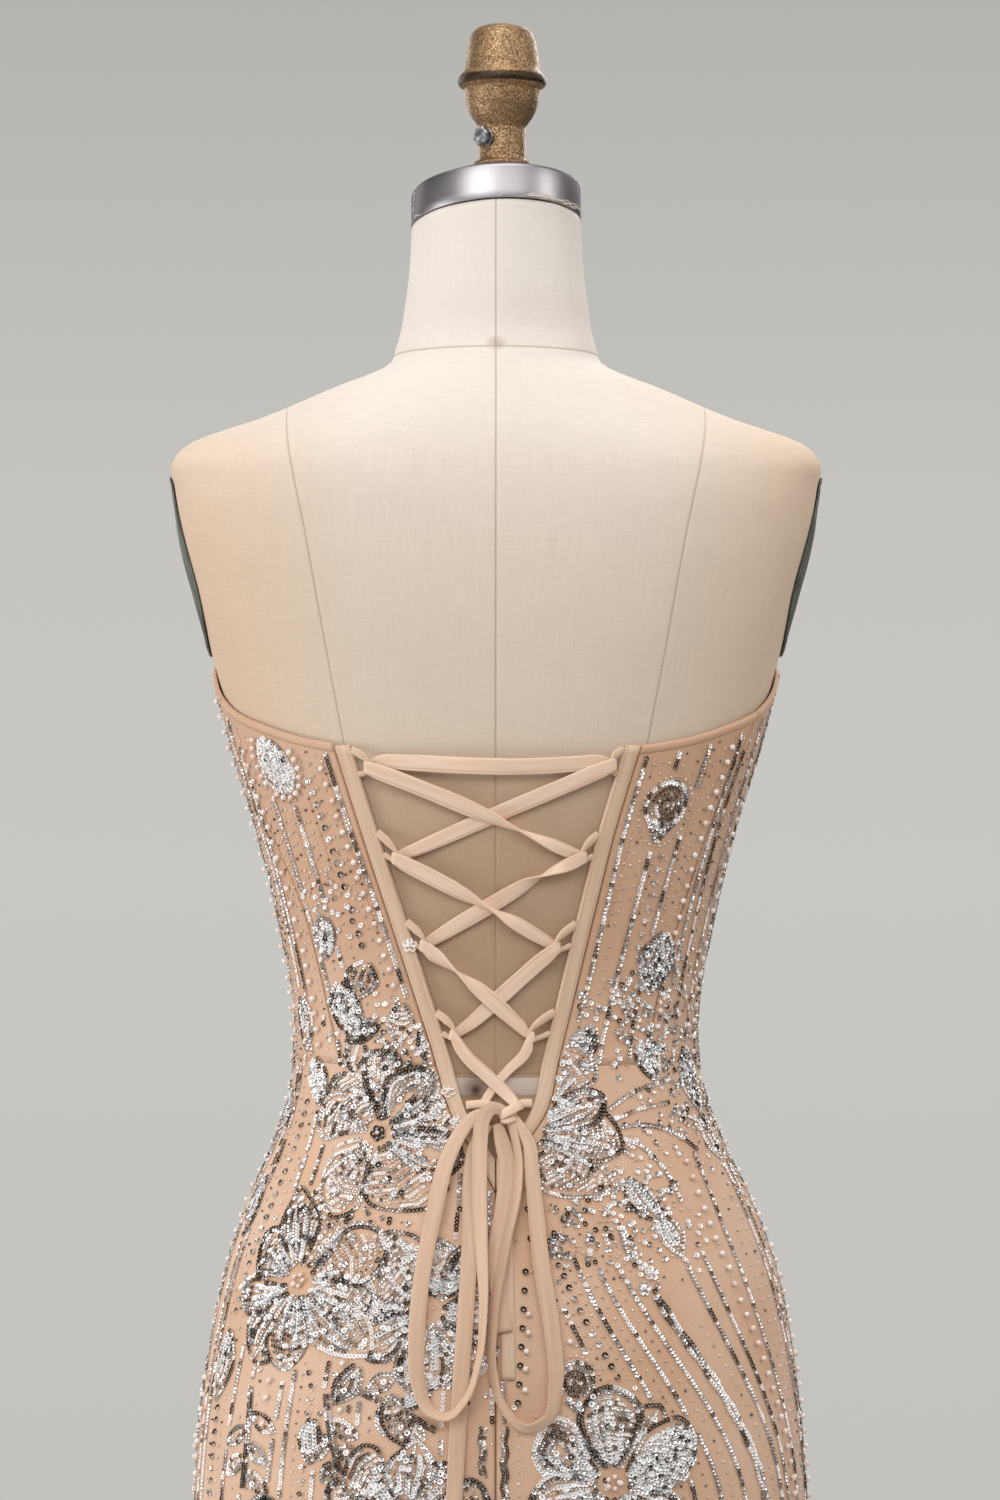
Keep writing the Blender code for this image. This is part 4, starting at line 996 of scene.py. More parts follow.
def hairs(name, paths, finish):
    """Many fine threads in one mesh: a three-sided section, 0.22 mm in radius, along each path."""
    angle = circle(3)
    points, faces, shift = [], [], 0
    for path in paths:
        along = unit(np.gradient(path, axis=0))
        side = unit(np.cross(along, (0.3, 0.2, 0.93)))
        up = np.cross(along, side)
        ring = path[:, None] + 0.00022 * np.cos(angle)[:, None] * side[:, None]
        ring = ring + 0.00022 * np.sin(angle)[:, None] * up[:, None]
        points.append(ring.reshape(-1, 3))
        faces.append(quads(len(path), 3, True) + shift)
        faces.append(np.array(((2, 1, 0), (0, 1, 2))) + np.array(((0,), ((len(path) - 1) * 3,))) + shift)
        shift += len(path) * 3
    return build(name, np.concatenate(points), faces, finish)


def finial():
    """Cast finial: the profile, resampled on straight lines and turned, pushed in and out by a seeded,
    smoothed cast grain.
    """
    knots = np.array(FINIAL_PROFILE)
    steps = along_it(knots)
    at = np.linspace(0, steps[-1], 110)
    radius, height = (np.interp(at, steps, knots[:, k])[:, None] for k in (0, 1))
    grain = rng.normal(size=(110, 120))
    for axis in (0, 1):
        grain = (np.roll(grain, 1, axis) + 2 * grain + np.roll(grain, -1, axis)) / 4
    grain *= 0.00016 * np.clip(radius / 0.012, 0, 1)
    rings = turned(radius + grain, height, (FINIAL_X, FINIAL_Y), 120)
    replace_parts(loft("cast_finial", rings, BRONZE), "finial")


def set_screw():
    """A hexagon head with a turned chamfer, and its washer, facing back and left. Rows are radius
    and reach."""
    aim = np.array((-math.sin(math.radians(40)), -math.cos(math.radians(40)), 0))
    side = np.array((-aim[1], aim[0], 0))
    centre = np.array((FINIAL_X, FINIAL_Y, SCREW_HEIGHT))
    washer = ((0.0054, 0.0146), (0.0056, 0.0149), (0.0056, 0.0161), (0.0053, 0.0164), (0.0045, 0.0164))
    head = ((0.006, 0.0168), (0.006, 0.0203), (0.0051, 0.0212), (0.0026, 0.0212), (0.0022, 0.0209))
    for name, sides, rows in (("screw_washer", 40, washer), ("screw_head", 6, head)):
        angle = circle(sides) + math.radians(15)
        round_it = np.cos(angle)[:, None] * side + np.sin(angle)[:, None] * np.array((0, 0, 1))
        rings = [centre + aim * reach + radius * round_it for radius, reach in rows]
        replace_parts(loft("zinc_" + name, rings, ZINC, sharp=30), "set_" + name)


def arm_plate(side, word):
    """An oval plate over the arm hole, following the form's side, with a rounded rim and a
    shallow dished middle."""
    ring = circle(72)
    per_radian = 0.098  # metres that a radian of turn is worth at the form's side
    rows = (
        (0.05, 0.0), (0.5, 0.0), (0.97, 0.0), (1.0, 0.0008), (1.0, 0.002), (0.985, 0.0028), (0.95, 0.003),
        (0.9, 0.0026), (0.86, 0.0023), (0.6, 0.0024), (0.3, 0.0026), (0.05, 0.0027),
    )
    rings = []
    for share, out in rows:
        height = ARM_HEIGHT + share * ARM_SIZE[1] * np.sin(ring)
        turn = side * (math.pi / 2 + share * ARM_SIZE[0] / per_radian * np.cos(ring))
        rings.append(off_skin(turn, height, np.full(ring.shape, 0.0004 + 0.55 * out)))
    rings = np.array(rings)
    if side > 0:
        rings = rings[:, ::-1]
    made = loft(f"moulded_arm_plate_{word}", rings, PLASTIC, sharp=50)
    mend_normals(made)
    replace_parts(made, f"arm_plate_{word}")


def mend_normals(made):
    work = bmesh.new()
    work.from_mesh(made.data)
    bmesh.ops.recalc_face_normals(work, faces=work.faces)
    work.to_mesh(made.data)
    work.free()


def stand():
    """Turned steel and cast iron: a flange under the form, the pole, its collar and the base. Rows
    are radius and height."""
    gap = HARD_GAP
    top = FORM_BOTTOM - 0.004 - gap
    flange = (
        (0.044, top - 0.006), (0.0448, top - 0.0056), (0.045, top - 0.0048), (0.045, top - 0.0006),
        (0.0446, top),
    )
    pole = [(POLE_RADIUS, z) for z in (BASE_THICK + COLLAR_HEIGHT + gap, 0.3, 0.5, top - 0.006 - gap)]
    collar = (
        (0.033, gap), (0.034, gap + 0.0008), (0.034, 0.009), (0.0333, 0.01), (0.029, 0.015), (0.0262, 0.023),
        (0.0242, 0.033), (0.0222, 0.0366), (0.0205, COLLAR_HEIGHT),
    )
    base = (
        (BASE_RADIUS - 0.001, 0), (BASE_RADIUS, 0.001), (BASE_RADIUS, BASE_THICK - 0.005),
        (BASE_RADIUS - 0.0012, BASE_THICK - 0.0018), (BASE_RADIUS - 0.0044, BASE_THICK), (0.12, BASE_THICK),
        (0.05, BASE_THICK),
    )
    steel, iron = ("steel_", POLE_STEEL, "brushed_steel"), ("iron_", IRON, "painted_iron")
    for node, rows, (word, finish, slot) in (
        ("pole_flange", flange, steel), ("pole", pole, steel),
        ("pole_collar", [(radius, BASE_THICK + z) for radius, z in collar], iron),
        ("base_plate", base, iron),
    ):
        radius, height = np.array(rows, float).T[..., None]
        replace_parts(loft(word + node, turned(radius, height, (0, 0), 120), finish, sharp=35), node)


form_torso()
neck_cap()
frayed_threads()
finial()
set_screw()
arm_plate(-1, "left")
arm_plate(1, "right")
stand()

# ---- the dress ----

EDGE_STEPS = np.array((0.0, 0.25, 0.7, 1.6, 3.2))  # millimetres in from a panel's side seam
EDGE_THICK = np.array((0.4, 0.78, 1.02, 1.06, 1.0))  # share of the cloth's thickness there
TOP_STEPS = np.array((0.0, 0.3, 0.9, 2.0, 3.4, 4.4, 4.9, 5.4, 6.2, 7.6))  # down from the top edge
TOP_THICK = np.array((0.3, 0.85, 1.25, 1.36, 1.34, 1.2, 0.86, 0.98, 1.02, 1.0))
HEM_STEPS = np.array((0.0, 0.4, 1.2, 6.0, 9.2, 10.0, 10.8, 14.0))
HEM_THICK = np.array((0.35, 0.9, 1.12, 1.12, 1.08, 0.8, 1.0, 1.0))


def folds(turn, height):
    """Soft folds of the cloth, in millimetres: drag lines that fan from the side of the waist,
    small gathers where the top edge meets the side seams, and low swells over it all."""
    side = np.sign(np.sin(turn))
    angle = np.degrees(np.abs((turn + math.pi) % (2 * math.pi) - math.pi))
    fan = np.sin(0.55 * angle * (1 + 0.2 * side) + 90 * (height - WAIST)) * np.exp(
        -(((height - WAIST) / 0.03) ** 2)
    )
    near_side = np.exp(-(((angle - 84 - 3 * side) / 7) ** 2))
    drop = neckline(turn) - height
    gather = np.sin(2 * math.pi * angle / 4.2 + 1.3 * side) * near_side * np.exp(-drop / 0.035)
    swell = np.sin(23 * height + 5 * turn) * np.sin(17 * height - 9 * turn + 1)
    return 0.16 * fan + 0.75 * np.clip(gather, -0.6, 1) * (height > WAIST) + 0.14 * swell


def cloth_wall(name, turn, height, share, finish, slot, seam=None, base=CLOTH, across=None, clear=None):
    """A sheet on the body: outer and inner grids and the rim between them. share is the cloth's
    thickness at each point, as a part of `base`; clear is its distance off the linen, where it
    isn't the dress's ease. Returns the object, the sheet's flat width and height, and its area."""
    rows, columns = turn.shape
    bulge = folds(turn, height) / 1000 if across is None else 0.0
    clear = ease(turn) if clear is None else np.full(turn.shape, clear)
    outer = off_skin(turn, height, clear + base * share + bulge)
    inner = off_skin(turn, height, clear)
    shift = rows * columns
    number = np.arange(shift).reshape(rows, columns)
    rim = np.concatenate((number[0, :], number[1:, -1], number[-1, -2::-1], number[-2:0:-1, 0]))
    after = np.roll(rim, -1)
    grid = quads(rows, columns)
    faces = [grid, grid[:, ::-1] + shift, np.stack((rim, rim + shift, after + shift, after), -1)]
    table = np.stack((turn * 0.13 if across is None else across, height), -1).reshape(-1, 2)
    table = np.concatenate((table, table))
    marks = {"seam": np.concatenate((seam.reshape(-1), np.full(shift, 9.0)))} if seam is not None else None
    points = np.concatenate((outer.reshape(-1, 3), inner.reshape(-1, 3)))
    made = build(name, points, faces, finish, uv=(table, faces), marks=marks)
    # the cloth's flat size: the longest row and column, and the area of all the cells
    across = np.linalg.norm(np.diff(outer, axis=1), axis=-1)
    down = np.linalg.norm(np.diff(outer, axis=0), axis=-1)
    one, two = outer[1:, 1:] - outer[:-1, :-1], outer[1:, :-1] - outer[:-1, 1:]
    area = float(np.linalg.norm(np.cross(one, two), axis=-1).sum() / 2)
    return made, (float(across.sum(1).max()), float(down.sum(0).max())), area


def panel(name, first, second, count, levels, bottom):
    """A panel between two seam lines, rows rising. Lines of the grid crowd beside the seams and
    the top edge, so that both have a pressed edge. A skirt panel has levels, a bodice one a bottom."""
    tops, middle = TOP_STEPS / 1000, 34

    def under_the_top(turn):
        top = neckline(turn)
        lower = bottom + np.linspace(0, 1, middle)[:, None] * (top[:middle] - tops[-1] - 0.004 - bottom)
        return np.concatenate((lower, top[middle:] - tops[::-1][:, None]))

    if bottom is None:
        low = HEM + HEM_STEPS / 1000
        rows = np.concatenate((low, levels[levels > low[-1] + 0.003]))
        height = np.repeat(rows[:, None], count + 8, 1)
    else:
        turn = np.full((middle + 10, count + 8), float(np.mean(first(np.array([bottom])))))
    for _ in range(1 if bottom is None else 8):
        if bottom is not None:
            height = under_the_top(turn)
        a, b = first(height), second(height)
        reach = np.linalg.norm(skin(a, height)[..., :2], axis=-1)
        way = np.sign(b - a)
        gap = way * SEEN_GAP / 2 / reach
        a, b = a + gap, b - gap
        near = np.minimum(EDGE_STEPS[:, None, None] / 1000 / reach, np.abs(b - a) / 4)
        start, stop = a + way * near[4], b - way * near[4]
        columns = [a + way * near[k] for k in range(5)]
        columns += [start + u * (stop - start) for u in np.linspace(0, 1, count)[1:-1]]
        columns += [b - way * near[k] for k in (4, 3, 2, 1, 0)]
        turn = np.stack([c[:, i] for i, c in enumerate(columns)], 1)
    edge = np.full(turn.shape[1], 9.0)
    edge[:5] = EDGE_STEPS
    edge[-5:] = EDGE_STEPS[::-1]
    share = np.interp(edge, EDGE_STEPS, EDGE_THICK) * np.ones(turn.shape)
    if bottom is None:
        rise, steps, thick, line = (height - HEM) * 1000, HEM_STEPS, HEM_THICK, 10
        low = (height.max() - height) * 1000
    else:
        height = under_the_top(turn)
        rise, steps, thick, line = (neckline(turn) - height) * 1000, TOP_STEPS, TOP_THICK, 4.9
        low = (height - bottom) * 1000
    share = np.where(rise < steps[-1], share * np.interp(rise, steps, thick), share)
    seam = np.minimum(edge, np.abs(rise - line) + 0.5)
    share = share * np.interp(low, (0, 0.4, 1.5), (0.93, 0.99, 1.0))
    seam = np.minimum(seam, low + 2.4)
    if np.mean(second(height) - first(height)) < 0:
        turn, height, share, seam = (a[:, ::-1] for a in (turn, height, share, seam))
    return cloth_wall(name, turn, height, share, TULLE, "beaded_tulle", seam)


panels = {}


def dress():
    """Each panel has two seam lines, a number of columns, and a skirt's levels or a bodice's bottom."""
    bottom = WAIST + WAIST_GAP
    steps = (
        np.arange(HEM + 0.018, V_END - 0.004, 0.0085), np.linspace(V_END, APEX, 5),
        np.linspace(APEX, WAIST - WAIST_GAP, 11)[1:-1], WAIST - WAIST_GAP - np.array((0.0012, 0.0004, 0.0)),
    )
    levels = np.concatenate(steps)
    jobs = []
    for side, word in ((-1, "left"), (1, "right")):
        seam, edge = side_back(side), back_edge(side)
        under_arm, front = (straight_seam(side * degrees) for degrees in (SIDE_SEAM, FRONT_SEAM))
        jobs.append((f"bodice_back_{word}", edge, seam, 14, None, bottom))
        jobs.append((f"bodice_side_{word}", seam, under_arm, 12, None, bottom))
        jobs.append((f"bodice_front_side_{word}", under_arm, front, 28, None, bottom))
        jobs.append((f"skirt_back_{word}", edge, under_arm, 34, levels, None))
    for node, seam, count, *ends in (
        ("bodice_front_centre", FRONT_SEAM, 24, None, bottom), ("skirt_front", SIDE_SEAM, 64, levels, None),
    ):
        jobs.append((node, straight_seam(seam), straight_seam(360 - seam), count, *ends))
    for node, *job in jobs:
        panels[node] = panel("tulle_" + node, *job)
        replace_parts(panels[node][0], node)


dress()


def binding(side, word):
    """The strip along one edge of the V: a folded band with a stitched ridge near its inner edge,
    mitred below the V."""
    top = neckline(0.0) - 0.0003
    tip = V_END + 3 * SEAM_GAP
    outer_height = np.concatenate((np.linspace(tip, APEX, 8), np.linspace(APEX, top, 90)[1:]))
    v = (outer_height - tip) / (top - tip)
    inner_height = APEX + v * (top - APEX)
    inner_x = np.where(v == 0, side * 0.0004, v_edge(side, inner_height))
    outer_turn = back_edge(side)(outer_height)
    outer_x = skin(outer_turn, outer_height)[:, 0] - side * SEEN_GAP / 2
    outer_x = np.where(v == 0, side * 0.0004, outer_x)
    u = np.array((0, 0.03, 0.08, 0.14, 0.18, 0.2, 0.23, 0.3, 0.5, 0.66, 0.8, 0.9, 0.96, 1.0))
    thick = np.array((0.3, 0.8, 1.0, 1.04, 0.98, 0.9, 0.97, 1.02, 1.05, 1.04, 1.02, 0.95, 0.75, 0.3))
    x = inner_x[:, None] + u * (outer_x - inner_x)[:, None]
    height = inner_height[:, None] + u * (outer_height - inner_height)[:, None]
    # the top corners are rounded
    corner = np.minimum(u, 1 - u) * BINDING_WIDTH
    cut = 0.0016 - np.sqrt(np.maximum(0, 0.0016**2 - np.maximum(0, 0.0016 - corner) ** 2))
    high = np.clip((height - (top - 0.006)) / 0.006, 0, 1)
    height = height - cut * high
    turn = turn_at(x, height)
    share = thick * np.interp((top - height) * 1000, (0, 0.3, 1.0), (0.4, 0.85, 1.0))
    across = np.tile((u - 0.5) * BINDING_WIDTH, (len(x), 1))
    if side < 0:
        turn, height, share, across = (a[:, ::-1] for a in (turn, height, share, across))
    sheet = (turn, height, share, BINDING, "satin_binding", None, BINDING_CLOTH, across)
    made = cloth_wall(f"crepe_v_binding_{word}", *sheet)[0]
    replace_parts(made, f"v_binding_{word}")
    return made


def zip_flap():
    """A narrow strip over the closed centre-back zip, its edges turned under."""
    rows = np.linspace(ZIP_FLAP[0][0], ZIP_FLAP[-1][0], 40)
    left, right = read(ZIP_FLAP, rows)
    u = np.array((0, 0.06, 0.16, 0.3, 0.5, 0.7, 0.84, 0.94, 1.0))
    thick = np.array((0.2, 0.75, 1.0, 1.05, 0.95, 1.05, 1.0, 0.75, 0.2))
    x = left[:, None] + u * (right - left)[:, None]
    height = np.repeat(rows[:, None], len(u), 1)
    share = np.tile(thick, (len(rows), 1))
    sheet = (turn_at(x, height), height, share, BINDING, "satin_binding", None, 0.0008, x)
    made = cloth_wall("crepe_zip_flap", *sheet, clear=EASE + CLOTH + 0.0003)[0]
    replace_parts(made, "zip_flap")
    return made


trims = {word: binding(side, word) for side, word in ((-1, "left"), (1, "right"))}
flap = zip_flap()

# ---- the embroidery: where each bead goes ----
# Beads are first set down as rows of turn, height, the strand's way (in turn and in height), size,
# tone, lift and tilt. A map of the cloth in cells remembers what is taken.

CELLS = (1440, 760)  # quarter degrees of turn, millimetres of height
MAP_LOW = 0.56
CHAIN_PITCH = 0.00225  # sequins overlap along a chain
ROW_GAP = 0.0026  # between the rows of a petal's rim
FINE_GAP = 0.0026  # between the rows inside it, where a little cloth shows through
SEQUIN_SIZE = 0.0014  # radius
FINE_SIZE = 0.00112
LOOSE_SIZE = 0.0019
SEED_SIZE = 0.00074
PEARL_SIZE = 0.00172
WHITE, BRIGHT, MID, DARK = range(4)
# Shares of the white, bright, mid and dark tones, which paint light and shade on one finish: the first
# mostly painted highlight, the last mostly painted shade
SPARKLING = (0.58, 0.26, 0.08, 0.08)
SILVER = (0.28, 0.4, 0.18, 0.14)
SHADED = (0.14, 0.3, 0.26, 0.3)
DEEP_SHADE = (0.05, 0.14, 0.26, 0.55)

stitched = {"sequin": [], "seed": [], "pearl": []}
threads = []


def cells(turn, height):
    i = (np.asarray(turn) / (2 * math.pi) % 1 * CELLS[0]).astype(int) % CELLS[0]
    j = np.clip(((np.asarray(height) - MAP_LOW) * 1000).astype(int), 0, CELLS[1] - 1)
    return i, j


def off_the_cloth():
    """True for cells beyond the top edge or hem, on the bindings, in the open V or on the flap."""
    turn = (np.arange(CELLS[0]) + 0.5) * 2 * math.pi / CELLS[0]
    turn = (turn + math.pi) % (2 * math.pi) - math.pi
    height = MAP_LOW + (np.arange(CELLS[1]) + 0.5) / 1000
    turn, height = turn[:, None], height[None, :]
    off = (height > neckline(turn) - 0.0075) | (height < HEM + 0.008)
    for side in (-1, 1):
        edge = back_edge(side)(height)
        past = (np.abs(turn) < 1.6) & (side * turn >= 0) & (side * turn < side * edge + 0.013)
        off |= past & (height > V_END - 0.001)
    x = skin(turn, np.broadcast_to(height, (CELLS[0], CELLS[1])))[..., 0]
    left, right = read(ZIP_FLAP, height)
    flap_here = (x > left - 0.0015) & (x < right + 0.0015) & (np.abs(turn) < 1.5)
    off |= flap_here & (height > ZIP_FLAP[0][0]) & (height < ZIP_FLAP[-1][0] + 0.005)
    return off


bare = off_the_cloth()
taken = bare.copy()
halo = bare.copy()  # what strands keep clear of
low_only = np.zeros(CELLS, bool)  # under the bow, where no tall bead is sewn


def mark(grid, turn, height, wide=1, tall=None):
    i, j = cells(turn, height)
    tall = wide if tall is None else tall
    for a in range(-wide, wide + 1):
        for b in range(-tall, tall + 1):
            grid[(i + a) % CELLS[0], np.clip(j + b, 0, CELLS[1] - 1)] = True


def mark_bow():
    for rows in (BOW_LEFT, BOW_RIGHT, TAIL_LONG, TAIL_SHORT):
        x, height = smooth_route(np.array(rows) / 1000, 0.001)[:, :2].T
        for aside in np.arange(-0.0064, 0.0065, 0.0016):
            for below in np.arange(-0.0064, 0.0065, 0.0016):
                mark(low_only, turn_at(x + aside, height + below), height + below)


mark_bow()


def stitch(kind, turn, height, way, size, tone, lift=0.0, tilt=0.0, keep=None, anywhere=False):
    """Sets down a row of beads, or those of them that `keep` says."""
    rows = np.zeros((len(turn), 8))
    for column, value in enumerate((turn, height, *way, size, tone, lift, tilt)):
        rows[:, column] = value
    rows = rows if keep is None else rows[keep]
    stitched[kind].append(rows if anywhere else rows[~bare[cells(rows[:, 0], rows[:, 1])]])


def stepped(turn, height, pitch, keep_off=None):
    """Even steps of `pitch` metres along a line on the cloth, the line's way at each, and whether
    each is clear of the cells of `keep_off`."""
    length = along_it(skin(turn, height))
    count = int(length[-1] / pitch)
    at = (np.arange(count) + 0.5) * pitch + (length[-1] - count * pitch) / 2
    t, h = np.interp(at, length, turn), np.interp(at, length, height)
    ahead, behind = at + pitch / 2, at - pitch / 2
    dt = np.interp(ahead, length, turn) - np.interp(behind, length, turn)
    dh = np.interp(ahead, length, height) - np.interp(behind, length, height)
    return t, h, dt, dh, np.ones(count, bool) if keep_off is None else ~keep_off[cells(t, h)]


def beside(turn, height, across, up):
    """The place some metres across and up from another."""
    along, rise = slopes(turn, height)
    reach = np.linalg.norm(along, axis=-1), np.linalg.norm(rise, axis=-1)
    return turn + across / reach[0], height + up / reach[1]


def runs(count, weights, shortest=2, longest=9):
    """Tones that hold for a stretch of the strand, as the light does, with a few stray ones."""
    tones = []
    while len(tones) < count:
        tones += [int(rng.choice(4, p=weights))] * int(rng.integers(shortest, longest))
    tones = np.array(tones[:count], int)
    stray = rng.random(count) < 0.2
    return np.where(stray, rng.choice(4, count, p=weights), tones)


def chain(turn, height, weights, keep_off=None, pitch=CHAIN_PITCH, size=SEQUIN_SIZE, skip=0.0):
    """Overlapping cup sequins: each lies tilted on the next."""
    t, h, dt, dh, keep = stepped(turn, height, pitch, keep_off)
    keep &= rng.random(len(t)) >= skip
    tone = runs(len(t), weights)
    tilt = np.radians(13 + rng.normal(0, 8, len(t)))
    sizes = size * (1 + rng.normal(0, 0.05, len(t)))
    lift = 0.00035 + 0.0001 * (np.arange(len(t)) % 2)
    stitch("sequin", t, h, (dt, dh), sizes, tone, lift, tilt, keep)


def seeds(turn, height, pitch=0.0074, keep_off=None, tones=(0.2, 0.3, 0.22, 0.28), thread=True):
    """Seed beads spaced along a thread."""
    t, h, dt, dh, keep = stepped(turn, height, pitch, keep_off)
    sizes = SEED_SIZE * (1 + rng.normal(0, 0.12, len(t)))
    stitch("seed", t, h, (dt, dh), sizes, rng.choice(4, len(t), p=tones), keep=keep)
    if thread and keep.sum() > 2:
        threads.append((turn, height, keep_off))


def loose(turn, height, keep_off):
    """Larger single sequins, tipped up, each held by a seed bead."""
    *rows, keep = stepped(turn, height, 0.0072, keep_off)
    t, h, dt, dh = (a[keep] for a in rows)
    tone = rng.choice(4, len(t), p=(0.12, 0.2, 0.28, 0.4))
    tilt = np.radians(20 + rng.normal(0, 10, len(t)))
    stitch("sequin", t, h, (dt, dh), LOOSE_SIZE, tone, 0.0005, tilt)
    tone = rng.choice(4, len(t), p=(0.6, 0.2, 0.1, 0.1))
    stitch("seed", *beside(t, h, 0.0009, -0.0006), (dt, dh), SEED_SIZE * 0.9, tone, 0.0007)


def triplets(turn, height, keep_off):
    """A small sequin with two seed beads at its side."""
    *rows, keep = stepped(turn, height, 0.0078, keep_off)
    t, h, dt, dh = (a[keep] for a in rows)
    tilt = np.radians(12 + rng.normal(0, 8, len(t)))
    tone = rng.choice(4, len(t), p=(0.3, 0.4, 0.2, 0.1))
    stitch("sequin", t, h, (dt, dh), SEQUIN_SIZE * 1.05, tone, 0.0004, tilt)
    for across, up in ((0.0024, 0.0002), (0.0011, -0.0024)):
        tone = rng.choice(4, len(t), p=(0.5, 0.3, 0.1, 0.1))
        stitch("seed", *beside(t, h, across, up), (dt, dh), SEED_SIZE, tone)


def pearls(turn, height, pitch=0.0095, keep_off=None, thread=True):
    t, h, dt, dh, keep = stepped(turn, height, pitch, keep_off)
    keep &= ~low_only[cells(t, h)]
    aside = beside(t, h, rng.normal(0, 0.0003, len(t)), rng.normal(0, 0.0003, len(t)))
    sizes = PEARL_SIZE * (1 + rng.normal(0, 0.04, len(t)))
    stitch("pearl", *aside, (dt, dh), sizes, rng.random(len(t)) < 0.4, keep=keep)
    if thread and keep.sum() > 2:
        threads.append((turn, height, keep_off))


# ---- petals, leaves and flowers ----


def on_motif(centre, angle, x, y):
    """Where a motif's own x and y, in metres, fall on the cloth once it is turned by `angle`."""
    c, s = math.cos(angle), math.sin(angle)
    return beside(np.array(centre[0]), np.array(centre[1]), x * c - y * s, x * s + y * c)


def ellipse(count, half_width, half_height):
    s = np.linspace(0, 2 * math.pi, count)
    return half_width * np.cos(s), half_height * np.sin(s)


def free(turn, height):
    """Those of some loose places that nothing has taken yet, each with a way of its own."""
    keep = ~taken[cells(turn, height)]
    way = rng.normal(size=(2, int(keep.sum())))
    return turn[keep], height[keep], (way[0] * 8, way[1])


def fine_chain(turn, height, weights, keep_off=None):
    chain(turn, height, weights, keep_off, 0.00185, FINE_SIZE, 0.06)


def fine_seeds(turn, height, weights, keep_off=None):
    seeds(turn, height, 0.0021, keep_off, (0.45, 0.35, 0.15, 0.05), thread=False)


# How a petal's half width goes: the sine of pi times s raised to p, all raised to q.
SHAPES = {"round": (1.3, 0.55), "leaf": (1.0, 0.85), "drop": (1.7, 0.66), "fan": (2.5, 0.45)}


def petal(centre, angle, start, length, width, shape, fill, rim, body, double=False, bend=0.0):
    """One petal or leaf along a motif's +y: a chain round its rim, then rows inside it. `bend`
    carries its tip aside, as a share of its width."""
    p, q = SHAPES[shape]
    phase, skew = rng.random() * 6, rng.normal(0, 0.1)
    ripple = 0.09 if shape == "fan" else 0.05

    def half(s):
        wave = 1 + ripple * np.sin(11 * s + phase)
        return width / 2 * wave * np.sin(math.pi * np.clip(s, 0, 1) ** p) ** q

    def line(x, s, draw, **how):
        x = x * (1 + skew * np.sign(x)) + bend * width * s * s
        t, h = on_motif(centre, angle, x, start + s * length)
        draw(t, h, keep_off=taken, **how)

    def ring(inset, weights, draw=chain):
        inner = (half(s) > inset * 1.1) & (s * length >= inset * 0.5) & ((1 - s) * length >= inset * 0.8)
        if inner.sum() < 5:
            return False
        x = half(s[inner]) - inset
        there_and_back = np.concatenate((s[inner], s[inner][::-1]))
        line(np.concatenate((-x, x[::-1])), there_and_back, draw, weights=weights)
        return True

    s = np.linspace(0.0, 1.0, 41)
    ring(0.0, rim)
    inset = ROW_GAP * 0.85
    if double:
        ring(inset, rim)
        inset += ROW_GAP * 0.85
    draws = (fine_chain, fine_seeds if fill.startswith("beaded") else fine_chain)
    if fill == "rings":
        while ring(inset, body, fine_chain):
            inset += FINE_GAP
    elif fill.endswith("ribs"):
        for number, at in enumerate(np.arange(inset * 0.9, length - inset * 0.6, FINE_GAP * 1.1)):
            wide = half(np.array(at / length)) - inset * 0.8
            if wide < 0.0009:
                continue
            x = np.linspace(-wide, wide, 9)
            line(x, (at - 0.3 * np.abs(x)) / length, draws[number % 2], weights=body)
    elif fill.endswith("rays"):
        many = max(1, int((half(np.array(0.55)) - inset) / FINE_GAP + 0.3))
        for number in range(-many, many + 1):
            x = (half(s) - inset) * number / many
            room = np.abs(half(s) - inset) / many > FINE_GAP * 0.55
            inner = (half(s) > inset) & (room | (number == 0))
            if inner.sum() >= 5:
                line(x[inner], s[inner], draws[number % 2], weights=body)
    else:  # packed
        step = 0.0022
        for number, at in enumerate(np.arange(inset, length - inset * 0.5, step * 0.87)):
            wide = half(np.array(at / length)) - inset * 0.7
            if wide < step / 2:
                continue
            x = np.arange(-wide + (number % 2) * step / 2, wide, step)
            y = at + rng.normal(0, 0.0003, len(x))
            x = x + rng.normal(0, 0.0003, len(x)) + bend * width * (at / length) ** 2
            t, h, way = free(*on_motif(centre, angle, x, start + y))
            tone = rng.choice(4, len(t), p=body)
            tilt = np.radians(rng.normal(12, 10, len(t)))
            lift = 0.0003 + 0.0006 * rng.random(len(t))
            sizes = SEQUIN_SIZE * (0.9 + 0.5 * rng.random(len(t)) ** 3)
            stitch("sequin", t, h, way, sizes, tone, lift, tilt)
    if fill != "packed" and length > 0.02 and rng.random() < 0.75:  # bright strokes over the rows
        for part in (-0.42, 0.0, 0.42):
            reach = np.linspace(0.05 + 0.1 * rng.random(), 0.5 + 0.3 * rng.random(), 16)
            line(part * half(reach), reach, chain, weights=(0.95, 0.05, 0.0, 0.0), size=SEQUIN_SIZE * 1.15)
    count = int(length * width * 7500)  # larger sequins thrown over it, here and there
    at = 0.2 + 0.7 * rng.random(count)
    x = half(at) * rng.uniform(-0.8, 0.8, count)
    t, h, way = free(*on_motif(centre, angle, x + bend * width * at**2, start + at * length))
    tone = rng.choice(4, len(t), p=(0.74, 0.1, 0.06, 0.1))
    stitch("sequin", t, h, way, SEQUIN_SIZE * 1.3, tone, 0.0011, 0.25)
    s = np.linspace(0.02, 0.98, max(8, int(length / 0.0007)))
    for part in np.linspace(-1, 1, max(7, int(width / 0.0006))):
        x = part * half(s) * (1 + skew * np.sign(part)) + bend * width * s**2
        t, h = on_motif(centre, angle, x, start + s * length)
        mark(taken, t, h)
        mark(halo, t, h, 3)


